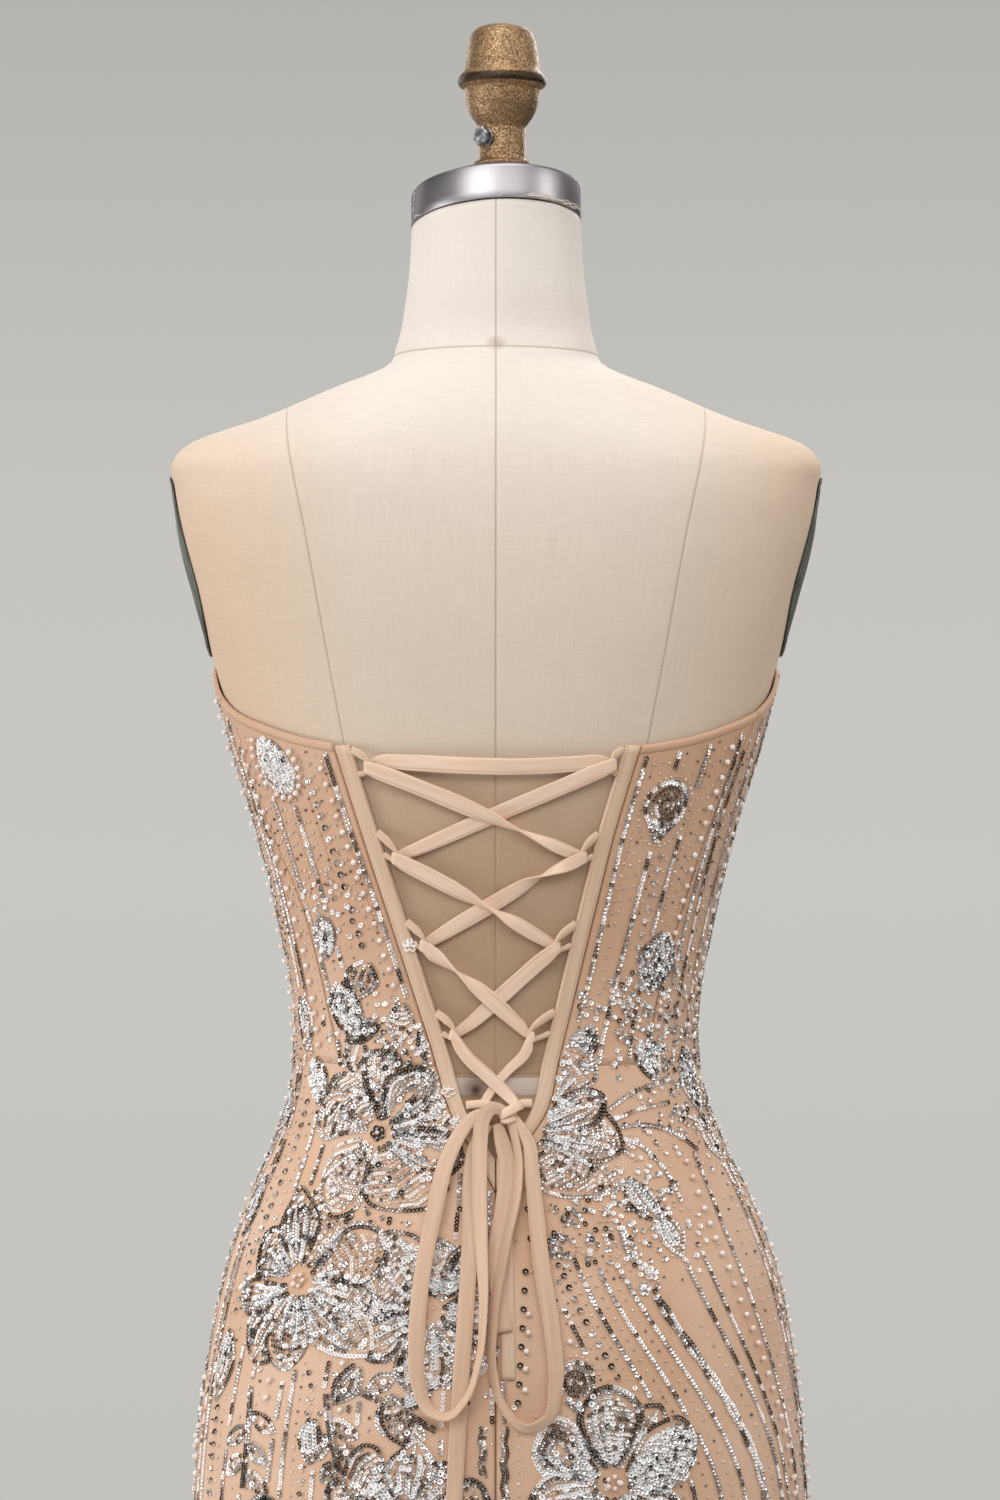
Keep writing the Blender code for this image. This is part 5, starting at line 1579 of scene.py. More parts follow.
def rosette(centre, tone, size=0.0019):
    """Five sequins round a pearl, or round a seed bead where no tall one may stand."""
    angle = np.arange(5) * 2 * math.pi / 5 + rng.random()
    t, h = on_motif(centre, 0.0, size * 1.25 * np.cos(angle), size * 1.25 * np.sin(angle))
    way = (np.cos(angle) * 8, np.sin(angle))
    stitch("sequin", t, h, way, size * 0.92, tone, 0.0005, np.radians(-14), anywhere=True)
    t, h = np.array([centre[0]]), np.array([centre[1]])
    low = low_only[cells(t, h)][0]
    kind, size, tone = ("seed", SEED_SIZE * 1.1, 0) if low else ("pearl", 0.0013, 1)
    stitch(kind, t, h, (1, 0), size, tone, 0.0006, anywhere=True)
    for reach in (0.3, 0.7, 1.2):
        t, h = on_motif(centre, 0.0, *ellipse(24, 0.004 * reach, 0.004 * reach))
        mark(taken, t, h)
        mark(halo, t, h, 2)


def pearl_heart(centre):
    """A flower's middle: five pearls in a ring."""
    angle = np.arange(5) * 2 * math.pi / 5
    t, h = on_motif(centre, 0.0, 0.0033 * np.cos(angle), 0.0033 * np.sin(angle))
    stitch("pearl", t, h, (1, 0), 0.0015, 1, keep=~low_only[cells(t, h)])
    for reach in (0.2, 0.5, 0.8, 1.0):
        mark(taken, *on_motif(centre, 0.0, *ellipse(30, 0.005 * reach, 0.005 * reach)))


PETAL_FILLS = ("rings", "ribs", "beaded_ribs", "rays", "beaded_rays", "packed")


def pick(options, shares):
    return options[int(rng.choice(len(options), p=shares))]


def flower(centre, radius, count, first, heart="pearls", spread=360, mood=(0.36, 0.4, 0.24)):
    """Uneven petals round an open heart, each tucked under the ones before it, with short bright
    chains between them and a few loose beads outside. Millimetres and degrees."""
    radius, first, step = radius / 1000, math.radians(first), math.radians(spread) / count
    heart_size = radius * 0.13
    if heart == "pearls":
        pearl_heart(centre)
    elif heart:
        rosette(centre, DARK, 0.0023)
    for k in rng.permutation(count):
        angle = first + k * step + rng.normal(0, 0.1)
        length = radius * (0.76 + 0.3 * rng.random()) - heart_size
        width = min(step, 1.1) * length * (0.82 + 0.3 * rng.random())
        fill = pick(PETAL_FILLS, (0.18, 0.22, 0.17, 0.16, 0.15, 0.12))
        body = pick((SPARKLING, SILVER, SHADED), mood)
        rim = pick((SPARKLING, SILVER, SHADED, DEEP_SHADE), (0.06, 0.14, 0.28, 0.52))
        shape = pick(("round", "fan", "drop", "leaf"), (0.34, 0.26, 0.2, 0.2))
        bend = rng.normal(0, 0.16)
        petal(centre, angle, heart_size, length, width, shape, fill, rim, body, rng.random() < 0.5, bend)
    for k in range(count):
        u = np.linspace(0.2, 0.42 + 0.3 * rng.random(), 12) * radius
        chain(*on_motif(centre, first + (k + 0.5) * step, 0 * u, u), (0.7, 0.2, 0.1, 0.0))
    scatter(centre, radius * 1.15, radius * 1.15, 24, SILVER)


def place(x, height):
    """A motif's middle on the back, from x and height in millimetres."""
    return float(turn_at(x / 1000, height / 1000)), height / 1000


def in_front(degrees, height):
    return math.radians(degrees), height / 1000


def spiral_drop(centre, angle, length, width):
    """A dark drop: a chain wound to its middle, silver below, a ring of small beads round it."""
    middle = 0.62 * length
    u = np.linspace(0, 1, 160)
    reach = u * width * 0.4
    x = reach * np.cos(7.2 * math.pi * u)
    y = middle + reach * 1.08 * np.sin(7.2 * math.pi * u)
    t, h = on_motif(centre, angle, x, y - length / 2)
    chain(t, h, DEEP_SHADE, pitch=0.0021, size=FINE_SIZE * 1.1, keep_off=taken)
    for t1, h1 in zip(np.array_split(t, 8), np.array_split(h, 8)):
        mark(taken, t1, h1, 2)
    petal(centre, angle, -length / 2, length, width, "drop", "packed", SILVER, SPARKLING)
    x, y = ellipse(50, width / 2 + 0.003, length / 2 + 0.002)
    t, h = on_motif(centre, angle, x, y + length * 0.03)
    seeds(t, h, 0.0034, keep_off=taken, thread=False)
    mark(halo, t, h, 3)


def ringed(centre, angle, length, width, fill, rim, body):
    """A drop with a ring of small sequins standing round it."""
    petal(centre, angle, -length / 2, length, width, "round", fill, rim, body)
    for gap, draw in ((0.0034, pearls), (0.0062, seeds)):
        t, h = on_motif(centre, angle, *ellipse(60, width / 2 + gap, length / 2 + gap))
        draw(t, h, 0.0052, keep_off=taken, thread=False)
        mark(halo, t, h, 2)


def scatter(centre, spread_x, spread_y, count, weights):
    """Loose sequins and seed beads thrown over a small patch."""
    x, y = rng.normal(0, 0.5, (2, count)) * np.array([[spread_x], [spread_y]])
    t, h, way = free(*on_motif(centre, 0.0, x, y))
    tone = rng.choice(4, len(t), p=weights)
    round_one = rng.random(len(t)) < 0.6
    stitch("sequin", t, h, way, SEQUIN_SIZE * 1.15, tone, 0.0003, 0.2, round_one)
    stitch("seed", t, h, way, SEED_SIZE, tone, 0.0003, keep=~round_one)
    mark(halo, t, h, 2)


def leaf(centre, angle, length, width, fill, rim, body, shape="leaf"):
    size = (length / 1000, width / 1000)
    petal(centre, math.radians(angle), 0.0, *size, shape, fill, rim, body, bend=rng.normal(0, 0.2))


def spray(centre, angle, length, lean, leaves):
    """A stem of two dark chains that curves aside, small leaves on both sides, pearls past its tip.
    Degrees and millimetres."""
    angle, length = math.radians(angle), length / 1000
    u = np.linspace(0, 1, 30)
    x, y = lean * length * u**2, length * u
    for aside in (-0.0011, 0.0011):
        t, h = on_motif(centre, angle, x + aside, y)
        fine_chain(t, h, DEEP_SHADE, keep_off=taken)
    mark(halo, t, h, 4, 3)
    for k in range(leaves):
        at = 0.25 + 0.7 * k / leaves
        side = 1 if k % 2 else -1
        foot = on_motif(centre, angle, lean * length * at**2, length * at)
        out = angle - math.atan(2 * lean * at) - side * math.radians(48 + 16 * rng.random())
        fill = PETAL_FILLS[int(rng.integers(0, 6))]
        petal(foot, out, 0.002, 0.012 + 0.01 * rng.random(), 0.0085, "leaf", fill, SHADED, SILVER)
    t, h = on_motif(centre, angle, x[-1] + 0.002 * np.arange(1, 5), y[-1] + 0.006 * np.arange(1, 5))
    pearls(t, h, 0.006, keep_off=taken)


# Flowers on the back: x and height in millimetres, radius, petals, first angle, heart
BACK_FLOWERS = (
    (-67, 997, 51, 9, 10, "rosette"), (-112, 912, 58, 9, 25, "pearls"), (-38, 899, 50, 8, -8, "pearls"),
    (-50, 783, 50, 8, 5, "rosette"), (66, 802, 58, 8, 12, "pearls"), (-126, 748, 48, 8, 0, "pearls"),
    (8, 690, 52, 8, 20, "rosette"), (108, 664, 48, 8, 0, "pearls"), (-84, 650, 50, 8, 30, "rosette"),
)
# Flowers on the front and sides: turn and height, then the same
FRONT_FLOWERS = (
    (128, 944, 46, 7, 0, "rosette"), (232, 930, 48, 7, 20, "pearls"), (180, 858, 52, 8, 10, "pearls"),
    (152, 752, 48, 7, 25, "rosette"), (214, 742, 50, 7, 0, "pearls"), (112, 812, 44, 7, 15, "pearls"),
    (180, 640, 52, 8, 0, "rosette"), (250, 806, 46, 7, 10, "rosette"), (240, 640, 46, 7, 0, "pearls"),
    (126, 640, 46, 7, 30, "rosette"), (206, 1166, 33, 6, 12, "rosette"), (140, 1108, 32, 6, 0, "pearls"),
)


def line_through(rows, draw, wide=3, tall=2, **how):
    """A row of beads along a smooth line on the back; rows are x and height in millimetres."""
    x, height = smooth_route(np.array(rows) / 1000, 0.002).T
    turn = turn_at(x, height)
    draw(turn, height, keep_off=taken, **how)
    mark(halo, turn, height, wide, tall)


def motifs():
    # the right of the waist: petals spread from beside the knot
    flower(place(17, 999), 62, 6, -138, None, 200, (0.5, 0.3, 0.2))
    for x, height, *kind in BACK_FLOWERS:
        flower(place(x, height), *kind)
    for degrees, height, *kind in FRONT_FLOWERS:
        flower(in_front(degrees, height), *kind)
    # drops on the bodice, back
    ringed(place(-127, 1213), math.radians(196), 0.036, 0.023, "packed", SPARKLING, (0.9, 0.08, 0.02, 0))
    spiral_drop(place(97, 1184), math.radians(-8), 0.038, 0.026)
    petal(place(97, 1115), math.radians(172), 0.0, 0.038, 0.025, "leaf", "packed", SILVER, SILVER)
    spiral_drop(place(46, 855), math.radians(10), 0.032, 0.023)
    # leaves and clusters round the waist, left
    for x, height, *kind in (
        (-90, 1086, 190, 36, 20, "packed", SHADED, SPARKLING),
        (-112, 1076, 186, 34, 15, "beaded_ribs", SILVER, SILVER),
        (-74, 1098, 160, 27, 19, "beaded_rays", DEEP_SHADE, SHADED),
        (-54, 1074, 172, 24, 14, "ribs", SHADED, SPARKLING),
        (-42, 1060, 196, 22, 12, "packed", SHADED, SILVER),
        (-98, 1124, 172, 26, 15, "packed", SILVER, SPARKLING),
        (-128, 1050, 178, 34, 13, "beaded_rays", SHADED, SILVER),
        (-66, 1062, 118, 26, 11, "packed", DEEP_SHADE, SHADED),
        (-104, 1040, 196, 30, 14, "packed", SILVER, SPARKLING),
        (-78, 1052, 170, 20, 13, "beaded_rays", SHADED, SPARKLING),
        (-48, 1036, 205, 20, 13, "packed", DEEP_SHADE, SILVER),
        (-118, 1020, 200, 34, 16, "beaded_ribs", SILVER, SILVER),
        (-138, 1004, 190, 36, 14, "packed", SHADED, SILVER),
        (-132, 968, 178, 40, 15, "beaded_rays", SHADED, SILVER),
        (-76, 948, 205, 22, 15, "packed", SILVER, SPARKLING),
        (-152, 880, 176, 44, 18, "beaded_ribs", SILVER, SHADED),
        (-78, 868, 160, 26, 14, "rings", DEEP_SHADE, SILVER),
        (-60, 852, 200, 30, 16, "ribs", DEEP_SHADE, SHADED),
        (-104, 836, 175, 26, 14, "beaded_rays", SHADED, SPARKLING),
        # and right
        (56, 1060, 150, 26, 14, "packed", SHADED, SILVER),
        (84, 1052, 190, 26, 15, "packed", SILVER, SPARKLING),
        (108, 1046, 186, 42, 18, "packed", SILVER, SILVER),
        (126, 1020, 192, 44, 14, "beaded_rays", SHADED, SILVER),
        (136, 1000, 188, 44, 14, "beaded_ribs", SILVER, SILVER),
        (116, 1004, 196, 30, 12, "beaded_rays", SILVER, SILVER),
        (74, 972, 208, 30, 15, "beaded_rays", SHADED, SILVER),
        (92, 950, 204, 26, 14, "beaded_ribs", SILVER, SILVER),
    ):
        leaf(place(x, height), *kind)
    for x, height, wide, tall, count, weights in (
        (-92, 1130, 22, 26, 60, SPARKLING), (-56, 1046, 26, 18, 60, SILVER),
        (-80, 1060, 50, 20, 70, SPARKLING), (66, 1072, 44, 22, 110, SPARKLING),
        (104, 1074, 40, 30, 90, SPARKLING), (42, 948, 24, 16, 60, SHADED), (92, 1046, 26, 44, 130, SILVER),
        (112, 1016, 26, 44, 150, SILVER), (128, 992, 18, 50, 110, SILVER), (76, 972, 34, 42, 150, SPARKLING),
        (84, 944, 34, 34, 130, SPARKLING), (50, 930, 40, 16, 70, SILVER), (-82, 960, 26, 22, 50, SILVER),
    ):
        scatter(place(x, height), wide / 1000, tall / 1000, count, weights)
    # chains that spread from the right flower towards the hip
    for rows in (
        ((66, 1004), (82, 1010), (100, 1013)), ((64, 999), (84, 1001), (104, 994), (116, 984)),
        ((66, 996), (84, 988), (98, 972), (106, 956)), ((62, 1009), (78, 1020), (98, 1026)),
        ((100, 1008), (116, 1000), (130, 984)),
    ):
        line_through(rows, chain, weights=SILVER)
    # sprays and single leaves below the left flowers
    for x, height, *kind in (
        (-88, 856, 255, 60, 0.15, 4), (-96, 850, 190, 56, -0.1, 5), (-140, 850, 186, 60, 0.1, 5),
        (12, 782, 170, 60, 0.2, 5), (120, 760, 190, 70, -0.2, 6), (-20, 730, 200, 60, 0.2, 5),
    ):
        spray(place(x, height), *kind)
    for rows in (
        ((-92, 858), (-86, 836), (-80, 812), (-76, 780), (-74, 752)), ((-64, 944), (-58, 930), (-40, 948)),
    ):
        line_through(rows, pearls, 4, 3, pitch=0.0105)
    # front and sides of the bodice, and its under-bust
    for degrees, height, *size, fill in (
        (112, 1238, 182, 42, 25, "packed"), (250, 1232, 178, 42, 25, "packed"),
        (150, 1226, 186, 44, 26, "rings"), (210, 1218, 176, 44, 26, "packed"),
        (180, 1212, 180, 46, 26, "rings"), (128, 1138, 186, 38, 22, "packed"),
        (232, 1142, 174, 38, 22, "rays"), (165, 1122, 190, 36, 20, "packed"),
        (196, 1118, 170, 36, 20, "ribs"), (110, 1078, 186, 36, 17, "packed"),
        (146, 1074, 176, 34, 17, "beaded_rays"), (180, 1070, 180, 38, 20, "packed"),
        (215, 1072, 186, 34, 17, "beaded_rays"), (250, 1076, 176, 36, 17, "packed"),
    ):
        leaf(in_front(degrees, height), *size, fill, SHADED, SPARKLING, "round")
    for turn, height in (
        (120, 1030), (165, 1020), (200, 1026), (245, 1020), (140, 850), (222, 850), (118, 892), (206, 968),
        (158, 936), (184, 770), (166, 706), (236, 700), (196, 714), (260, 868), (104, 736), (160, 820),
    ):
        spray(in_front(turn, height), 180 + 30 * math.sin(turn), 56, 0.2 * math.cos(turn), 5)
    # small rosettes
    for x, height, tone in (
        (-49, 1107, WHITE), (-27, 1022, WHITE), (-22, 1004, WHITE), (-34, 1012, BRIGHT), (46, 1052, BRIGHT),
        (52, 1036, BRIGHT), (-30, 968, MID), (34, 932, MID), (88, 918, WHITE), (84, 910, BRIGHT),
    ):
        rosette(place(x, height), tone, 0.0021)


motifs()

# ---- strands between the motifs ----

LEFT_ORDER = ("paired", "seeds", "loose", "seeds", "chain", "seeds", "chain", "seeds", "pearls")
LEFT_ORDER += ("chain", "chain", "seeds", "triplets", "chain", "pearls", "chain")
RIGHT_ORDER = ("chain", "seeds", "chain", "triplets", "chain", "seeds", "pearls", "chain", "chain")
RIGHT_ORDER += ("seeds", "chain", "pearls", "chain", "triplets", "chain", "chain")
FRONT_ORDER = ("chain", "seeds", "pearls", "chain", "seeds", "loose", "chain", "seeds", "chain", "triplets")
# Lines on the right of the back: where each ends at the hem, in degrees, its kind, and its top
HIP_LINES = (
    (8.0, "seeds", 0.8), (12.0, "chain", 0.79), (16.0, "seeds", 0.8), (20.0, "chain", 0.84),
    (23.0, "pearls", 0.89), (25.6, "seeds", 0.915), (28.2, "chain", 0.918), (30.6, "seeds", 0.921),
    (33.0, "loose", 0.924), (35.4, "seeds", 0.927), (37.8, "chain", 0.93), (41.0, "seeds", 0.936),
    (44.0, "chain", 0.944), (47.2, "seeds", 0.946), (50.4, "chain", 0.95), (56.6, "thick", 0.958),
    (60.6, "seeds", 0.89), (63.0, "chain", 0.948), (66.0, "chain", 0.925), (69.0, "pearls", 0.986),
    (71.6, "chain", 0.99), (74.6, "seeds", 0.96), (77.6, "seeds", 0.985), (80.2, "chain", 0.992),
    (83.0, "chain", 1.004), (85.8, "seeds", 0.99), (88.2, "pearls", 1.01), (91.0, "chain", 1.02),
    (94.0, "chain", 1.016), (97.0, "seeds", 1.024),
)
# How far each of them leans back towards the middle by its top: end and lean in degrees
HIP_LEAN = (
    (4, 0), (16, 6), (23, 15), (28, 20), (38, 24), (50, 28), (57, 30), (64, 23), (75, 13), (92, 4), (110, 0)
)


def strand(kind, turn, height, room=4):
    mood = pick(((0.24, 0.34, 0.2, 0.22), SILVER, SHADED, DEEP_SHADE), (0.4, 0.3, 0.2, 0.1))
    if kind in ("chain", "paired"):
        chain(turn, height, mood, keep_off=halo)
    elif kind == "thick":
        for aside in (-0.0015, 0.0015):
            a, b = beside(turn, height, aside + 0.0006 * np.sin(330 * height + 900 * aside), 0.0)
            chain(a, b, (0.45, 0.3, 0.12, 0.13), keep_off=halo, size=SEQUIN_SIZE * 1.12)
    else:
        draw = {"seeds": seeds, "loose": loose, "triplets": triplets, "pearls": pearls}[kind]
        closer = {"pitch": 0.007} if kind == "seeds" else {}
        draw(turn, height, keep_off=halo, **closer)
    if kind == "paired":
        pearls(*beside(turn, height, -0.0048, 0.0), keep_off=halo, thread=False)
    mark(halo, turn, height, room + 2 * (kind in ("thick", "paired")), 2)


def bodice_strands():
    """Lines from the top edge to the waist. On the back they lie between the binding's edge and
    the side seam, at fixed shares of the way, so they draw together as they fall."""
    for side, order in ((-1, LEFT_ORDER), (1, RIGHT_ORDER)):
        count = len(order)
        for k, kind in enumerate(order):
            share = (k + 0.4) / count
            height = np.linspace(WAIST - 0.004, 1.262 + 0.006 * rng.random(), 120)
            if rng.random() < 0.3 and k > 1:
                height = height[: int(120 * (0.7 + 0.28 * rng.random()))]
            edge = side * back_edge(side)(height) + 0.014
            turn = side * (edge + share * (math.radians(SIDE_SEAM) - edge))
            turn = turn + 0.006 * np.sin(30 * height + 2.4 * k)
            strand(kind, turn, height, 2)
        for k in range(count):  # finer ones between them, where there is room near the top
            share = (k + 0.9) / count
            height = np.linspace(1.1 + 0.04 * rng.random(), 1.262, 80)
            edge = side * back_edge(side)(height) + 0.014
            turn = side * (edge + share * (math.radians(SIDE_SEAM) - edge))
            seeds(turn, height, 0.0075, keep_off=halo, thread=k % 2 == 0)
    front = np.radians(np.arange(SIDE_SEAM + 2.0, 360 - SIDE_SEAM, 3.6))
    for k, start in enumerate(front):
        height = np.linspace(WAIST - 0.004, 1.295, 140)
        if rng.random() < 0.3:
            height = height[: int(140 * (0.6 + 0.35 * rng.random()))]
        lean = 0.16 * np.sin(start) * (height - 1.12)
        turn = start + lean + 0.01 * np.sin(26 * height + 1.9 * k)
        strand(FRONT_ORDER[k % len(FRONT_ORDER)], turn, height, 3)


def skirt_strands():
    """Lines that rise from the hem. On the right of the back each leans back towards the middle as
    it rises, as its table says; elsewhere they lean a little. One that meets another stops."""
    lines = []
    for end, kind, top in HIP_LINES:
        height = np.linspace(HEM + 0.01, top, 240)
        rise = np.clip((height - 0.775) / 0.18, 0, 1)
        lean = float(read(HIP_LEAN, np.array(end))[0])
        turn = np.radians(end - lean * rise * rise * (3 - 2 * rise) - 3.0 * np.clip(0.775 - height, 0, 1))
        lines.append((kind, turn, height))
    for k, end in enumerate(np.arange(-260.0, 4.0, 2.9)):
        height = np.linspace(HEM + 0.01, WAIST - 0.003, 240)
        rise = np.minimum(1.0, np.exp(-(0.95 - height) / 0.085))
        lean = -9 * math.exp(-(((end + 55) / 30) ** 2))
        turn = np.radians(end - lean * rise) + 0.01 * np.sin(15 * height + 1.3 * k)
        order = LEFT_ORDER if end > -100 else FRONT_ORDER
        kind = order[k % len(order)]
        kind = "chain" if kind == "paired" else kind
        if rng.random() < 0.2:
            stop = int(240 * (0.5 + 0.45 * rng.random()))
            height, turn = height[:stop], turn[:stop]
        lines.append((kind, turn, height))
    for kind, turn, height in lines:
        strand(kind, turn, height, 2)


# inside the right bow loop: dark sequins and pearls in turn; below the bow, two dark columns
for number, height in enumerate(np.arange(0.848, 0.93, 0.0052)):
    t = turn_at(0.015 + 0.0035 * (number % 2) + 0.06 * (height - 0.89), height)
    t, h = np.array([float(t)]), np.array([height])
    if number % 2:
        pearls(np.append(t, t + 1e-4), np.append(h, h + 0.0052), 0.005, thread=False)
    else:
        stitch("sequin", t, h, (np.zeros(1), np.ones(1)), LOOSE_SIZE, DARK, 0.0005, 0.3)
    mark(halo, t, h, 6, 3)
for x in (-0.0075, 0.005):
    height = np.linspace(HEM + 0.02, 0.835, 160)
    for aside in (-0.0012, 0.0012):
        t = turn_at(x + aside + 0.0006 * np.sin(500 * height), height)
        fine_chain(t, height, DEEP_SHADE, keep_off=halo)
    mark(halo, t, height, 6, 2)

bodice_strands()
skirt_strands()

# ---- the embroidery: making it ----


def cup_sequin():
    """A stamped cup with a hole: an outer ring and a lower, smaller one, in six facets."""
    angle = np.arange(6) * math.pi / 3
    wide, narrow = (np.stack((r * np.cos(angle), r * np.sin(angle), 0 * angle), -1) for r in (1.05, 0.4))
    return np.concatenate((wide + (0, 0, 0.32), narrow)), (quads(2, 6, True),)


def seed_bead():
    """A short rounded drum on five sides, open where it lies on the cloth."""
    angle = np.arange(5) * 2 * math.pi / 5
    low = np.stack((0.9 * np.cos(angle), 0.9 * np.sin(angle), np.full(5, 0.15)), -1)
    points = np.concatenate((low, low + (0, 0, 1), [[0, 0, 1.55]]))
    k = np.arange(5) + 5
    return points, (quads(2, 5, True), np.stack((k, np.roll(k, -1), np.full(5, 10)), -1))


def round_pearl():
    """A ball on eight sides and six rows, its foot on the cloth."""
    angle = np.arange(8) * math.pi / 4
    rings = []
    for rise in np.linspace(-math.pi / 2, math.pi / 2, 6)[1:-1]:
        out, up = math.cos(rise), 1 + math.sin(rise)
        rings.append(np.stack((out * np.cos(angle), out * np.sin(angle), np.full(8, up)), -1))
    points = np.concatenate((*rings, [[0, 0, 0.0], [0, 0, 2.0]]))
    return points, (quads(4, 8, True), *end_caps(4, 8))


def region(turn, height):
    """Which piece a bead belongs to: the bodice's two halves and the skirt's four quarters."""
    angle = (turn + math.pi) % (2 * math.pi) - math.pi
    low = height < WAIST
    front = np.abs(angle) > math.pi / 2
    right = angle > 0
    return np.where(low, 2 + 2 * front + right, 1 * right)


REGIONS = ("bodice_left", "bodice_right", "skirt_back_left", "skirt_back_right")
REGIONS += ("skirt_front_left", "skirt_front_right")


def sew(kind, shape, tones, smooth):
    """Copies one bead's shape to every place it is stitched, turned to its strand and tilted."""
    rows = np.concatenate(stitched[kind])
    points, groups = shape
    where = region(rows[:, 0], rows[:, 1])
    for number, word in enumerate(REGIONS):
        part = rows[where == number]
        turn, height, dt, dh, size, tone, lift, tilt = part.T
        along, up = slopes(turn, height)
        normal = unit(np.cross(along, up))
        down = np.where(dh > 0, -1.0, 1.0)[:, None]  # beads lap like tiles, facing a little up
        way = down * unit(along * dt[:, None] + up * dh[:, None])
        if kind == "sequin":  # the white ones are those that have slipped to face the light above
            lit = tone == WHITE
            way = np.where(lit[:, None], -unit(up + 0.25 * along * rng.normal(size=(len(part), 1))), way)
            tilt = np.where(lit, np.radians(rng.normal(21, 7, len(part))), tilt)
        side = np.cross(normal, way)
        out = ease(turn) + CLOTH + folds(turn, height) / 1000 + lift
        base = skin(turn, height) + normal * out[:, None]
        roll = np.radians(rng.normal(0, 5, len(part)))
        c, s = np.cos(tilt)[:, None], np.sin(tilt)[:, None]
        way, normal = way * c + normal * s, normal * c - way * s
        c, s = np.cos(roll)[:, None], np.sin(roll)[:, None]
        side, normal = side * c + normal * s, normal * c - side * s
        axes = (way, side, normal)
        placed = sum(points[:, k, None] * axis[:, None] for k, axis in enumerate(axes))
        placed = base[:, None] + size[:, None, None] * placed
        shift = np.arange(len(part))[:, None, None] * len(points)
        faces = [(np.asarray(g)[None] + shift).reshape(-1, len(g[0])) for g in groups]
        picked = np.concatenate([np.repeat(tone.astype(int), len(g)) for g in groups])
        build(f"{kind}s_{word}", placed, faces, tones, smooth, tones=picked)


def couching():
    """Threads that run from bead to bead, as fine ridges on the cloth."""
    paths = []
    for turn, height, keep_off in threads:
        t, h, _, _, keep = stepped(turn, height, 0.006, keep_off)
        place_on = off_skin(t, h, ease(t) + CLOTH + folds(t, h) / 1000 + 0.0001)
        for piece in np.split(np.arange(len(t)), np.flatnonzero(~keep)):
            piece = piece[keep[piece]]
            if len(piece) > 2:
                paths.append(place_on[piece])
    hairs("couching_threads", paths, THREAD)


sew("sequin", cup_sequin(), SEQUIN_TONES, False)
sew("seed", seed_bead(), GLASS_TONES, True)
sew("pearl", round_pearl(), PEARL_TONES, True)
couching()

# ---- light and stage ----


def softbox(name, place, aim, size, power, tint="#FFFFFF"):
    data = bpy.data.lights.new(name, "AREA")
    data.shape = "RECTANGLE"
    data.size, data.size_y = size
    data.energy = power
    data.color = colour(tint)[:3]
    made = bpy.data.objects.new(name, data)
    made.location = place
    way = np.array(aim, float) - np.array(place, float)
    flat = math.hypot(way[0], way[1])
    made.rotation_euler = (math.atan2(flat, -way[2]), 0, math.atan2(-way[0], way[1]))
    bpy.context.scene.collection.objects.link(made)


# The room behind the object, from floor to ceiling, and the room as the object sees it: pale,
# dimmer below
ROOM_WALL = [(0.0, "#C2C1BC"), (0.42, "#C9C8C3"), (0.62, "#C6C5C0"), (1.0, "#B4B2AE")]
ROOM_LIGHT = [(0.0, "#706B66"), (0.5, "#8A8784"), (1.0, "#C4C4C4")]


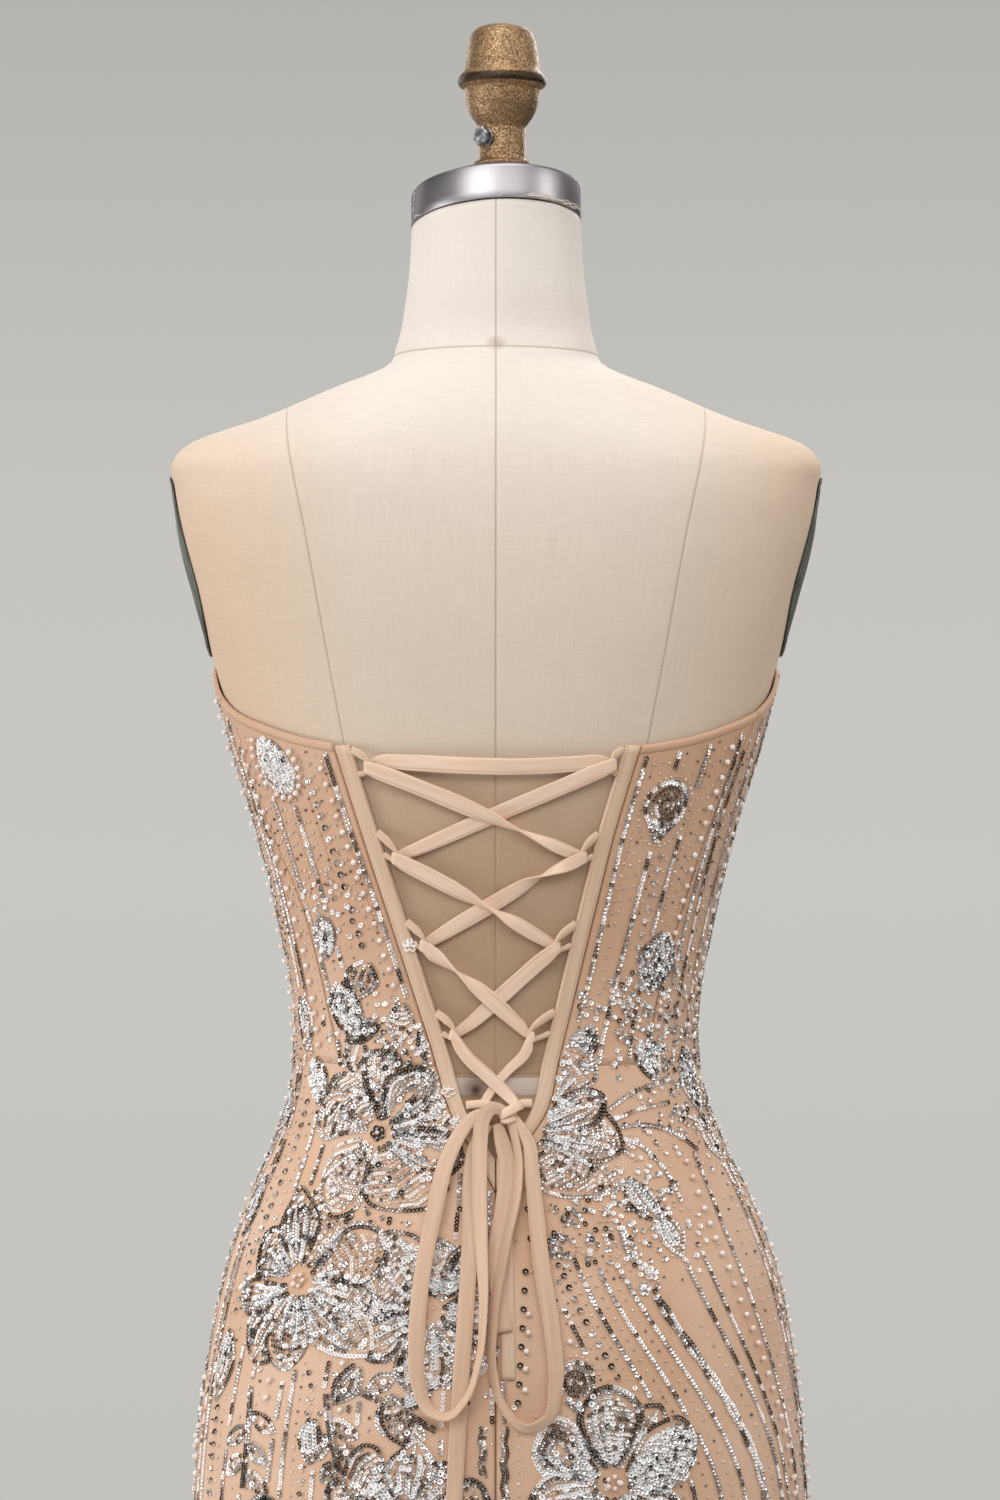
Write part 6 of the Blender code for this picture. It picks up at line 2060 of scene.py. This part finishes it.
def stage():
    """A pale floor that fades out with distance, and a pale room with no walls to get in the way."""
    rings = turned(np.array((0.02, 0.5, 1.0, 1.8, 2.8, 3.6))[:, None], -0.0005, (0, 0), 96)
    mesh = bpy.data.meshes.new("floor")
    faces = quads(6, 96, True)[:, ::-1].tolist() + [list(range(96))]
    mesh.from_pydata(rings.reshape(-1, 3).tolist(), [], faces)
    made, tree, shader = finish_named("floor_paper_pale", "#D2D1CD", 0.9)
    place = put(tree, "TexCoord", out="Object")
    reach = put(tree, "VectorMath", (place,), "Value", operation="LENGTH")
    fade = put(tree, "MapRange", (reach, 0.9, 3.5, 1.0, 0.0), interpolation_type="SMOOTHSTEP")
    feed(shader, {"Alpha": fade})
    mesh.materials.append(made)
    floor = bpy.data.objects.new("floor", mesh)
    bpy.context.scene.collection.objects.link(floor)

    world = bpy.data.worlds.new("room")
    bpy.context.scene.world = world
    world.use_nodes = True
    tree = world.node_tree
    tree.nodes.clear()
    rise = put(tree, "SeparateXYZ", (put(tree, "TexCoord", out="Generated"),), "Z")
    wall = put(tree, "ValToRGB", (put(tree, "MapRange", (rise, -0.2, 0.2)),), stops=ROOM_WALL)
    ambient = put(tree, "ValToRGB", (put(tree, "MapRange", (rise, -1.0, 1.0)),), stops=ROOM_LIGHT)
    # black flags stand at both sides, for what mirrors: they give the metal its dark edges
    aside = put(tree, "Math", (rise.node.outputs["X"],), operation="ABSOLUTE")
    flag = put(tree, "ValToRGB", (aside,), stops=[(0.3, 1), (0.62, 0.14), (1.0, 0.1)])
    mirrored = put(tree, "LightPath", out="Is Glossy Ray")
    ambient = put(tree, "Mix", {0: mirrored, 6: ambient, 7: flag}, **DARKEN)
    seen, lit = (put(tree, "Background", {"Color": tint, "Strength": 1.0}) for tint in (wall, ambient))
    ray = put(tree, "LightPath", out="Is Camera Ray")
    put(tree, "OutputWorld", {"Surface": put(tree, "MixShader", (ray, lit, seen))})

    softbox("key", (-0.8, -1.7, 2.5), (0, 0, 1.15), (1.5, 1.1), 20)
    softbox("fill", (0.85, -1.8, 2.45), (0, 0, 1.1), (1.3, 1.0), 7.5)
    softbox("left", (-2.3, -0.6, 0.85), (0, 0, 1.1), (0.8, 1.6), 22)
    softbox("right", (2.3, -0.6, 2.3), (0, 0, 1.0), (0.8, 1.2), 13)
    softbox("top", (0.0, -0.3, 3.0), (0, 0, 1.0), (1.4, 1.0), 10)
    softbox("front_key", (0.9, 2.1, 2.4), (0, 0, 1.1), (1.6, 1.2), 26)
    softbox("front_fill", (-1.4, 2.0, 1.9), (0, 0, 1.0), (1.2, 1.2), 12)
    bpy.context.scene.view_settings.view_transform = "Standard"
    bpy.context.scene.view_settings.look = "None"


stage()
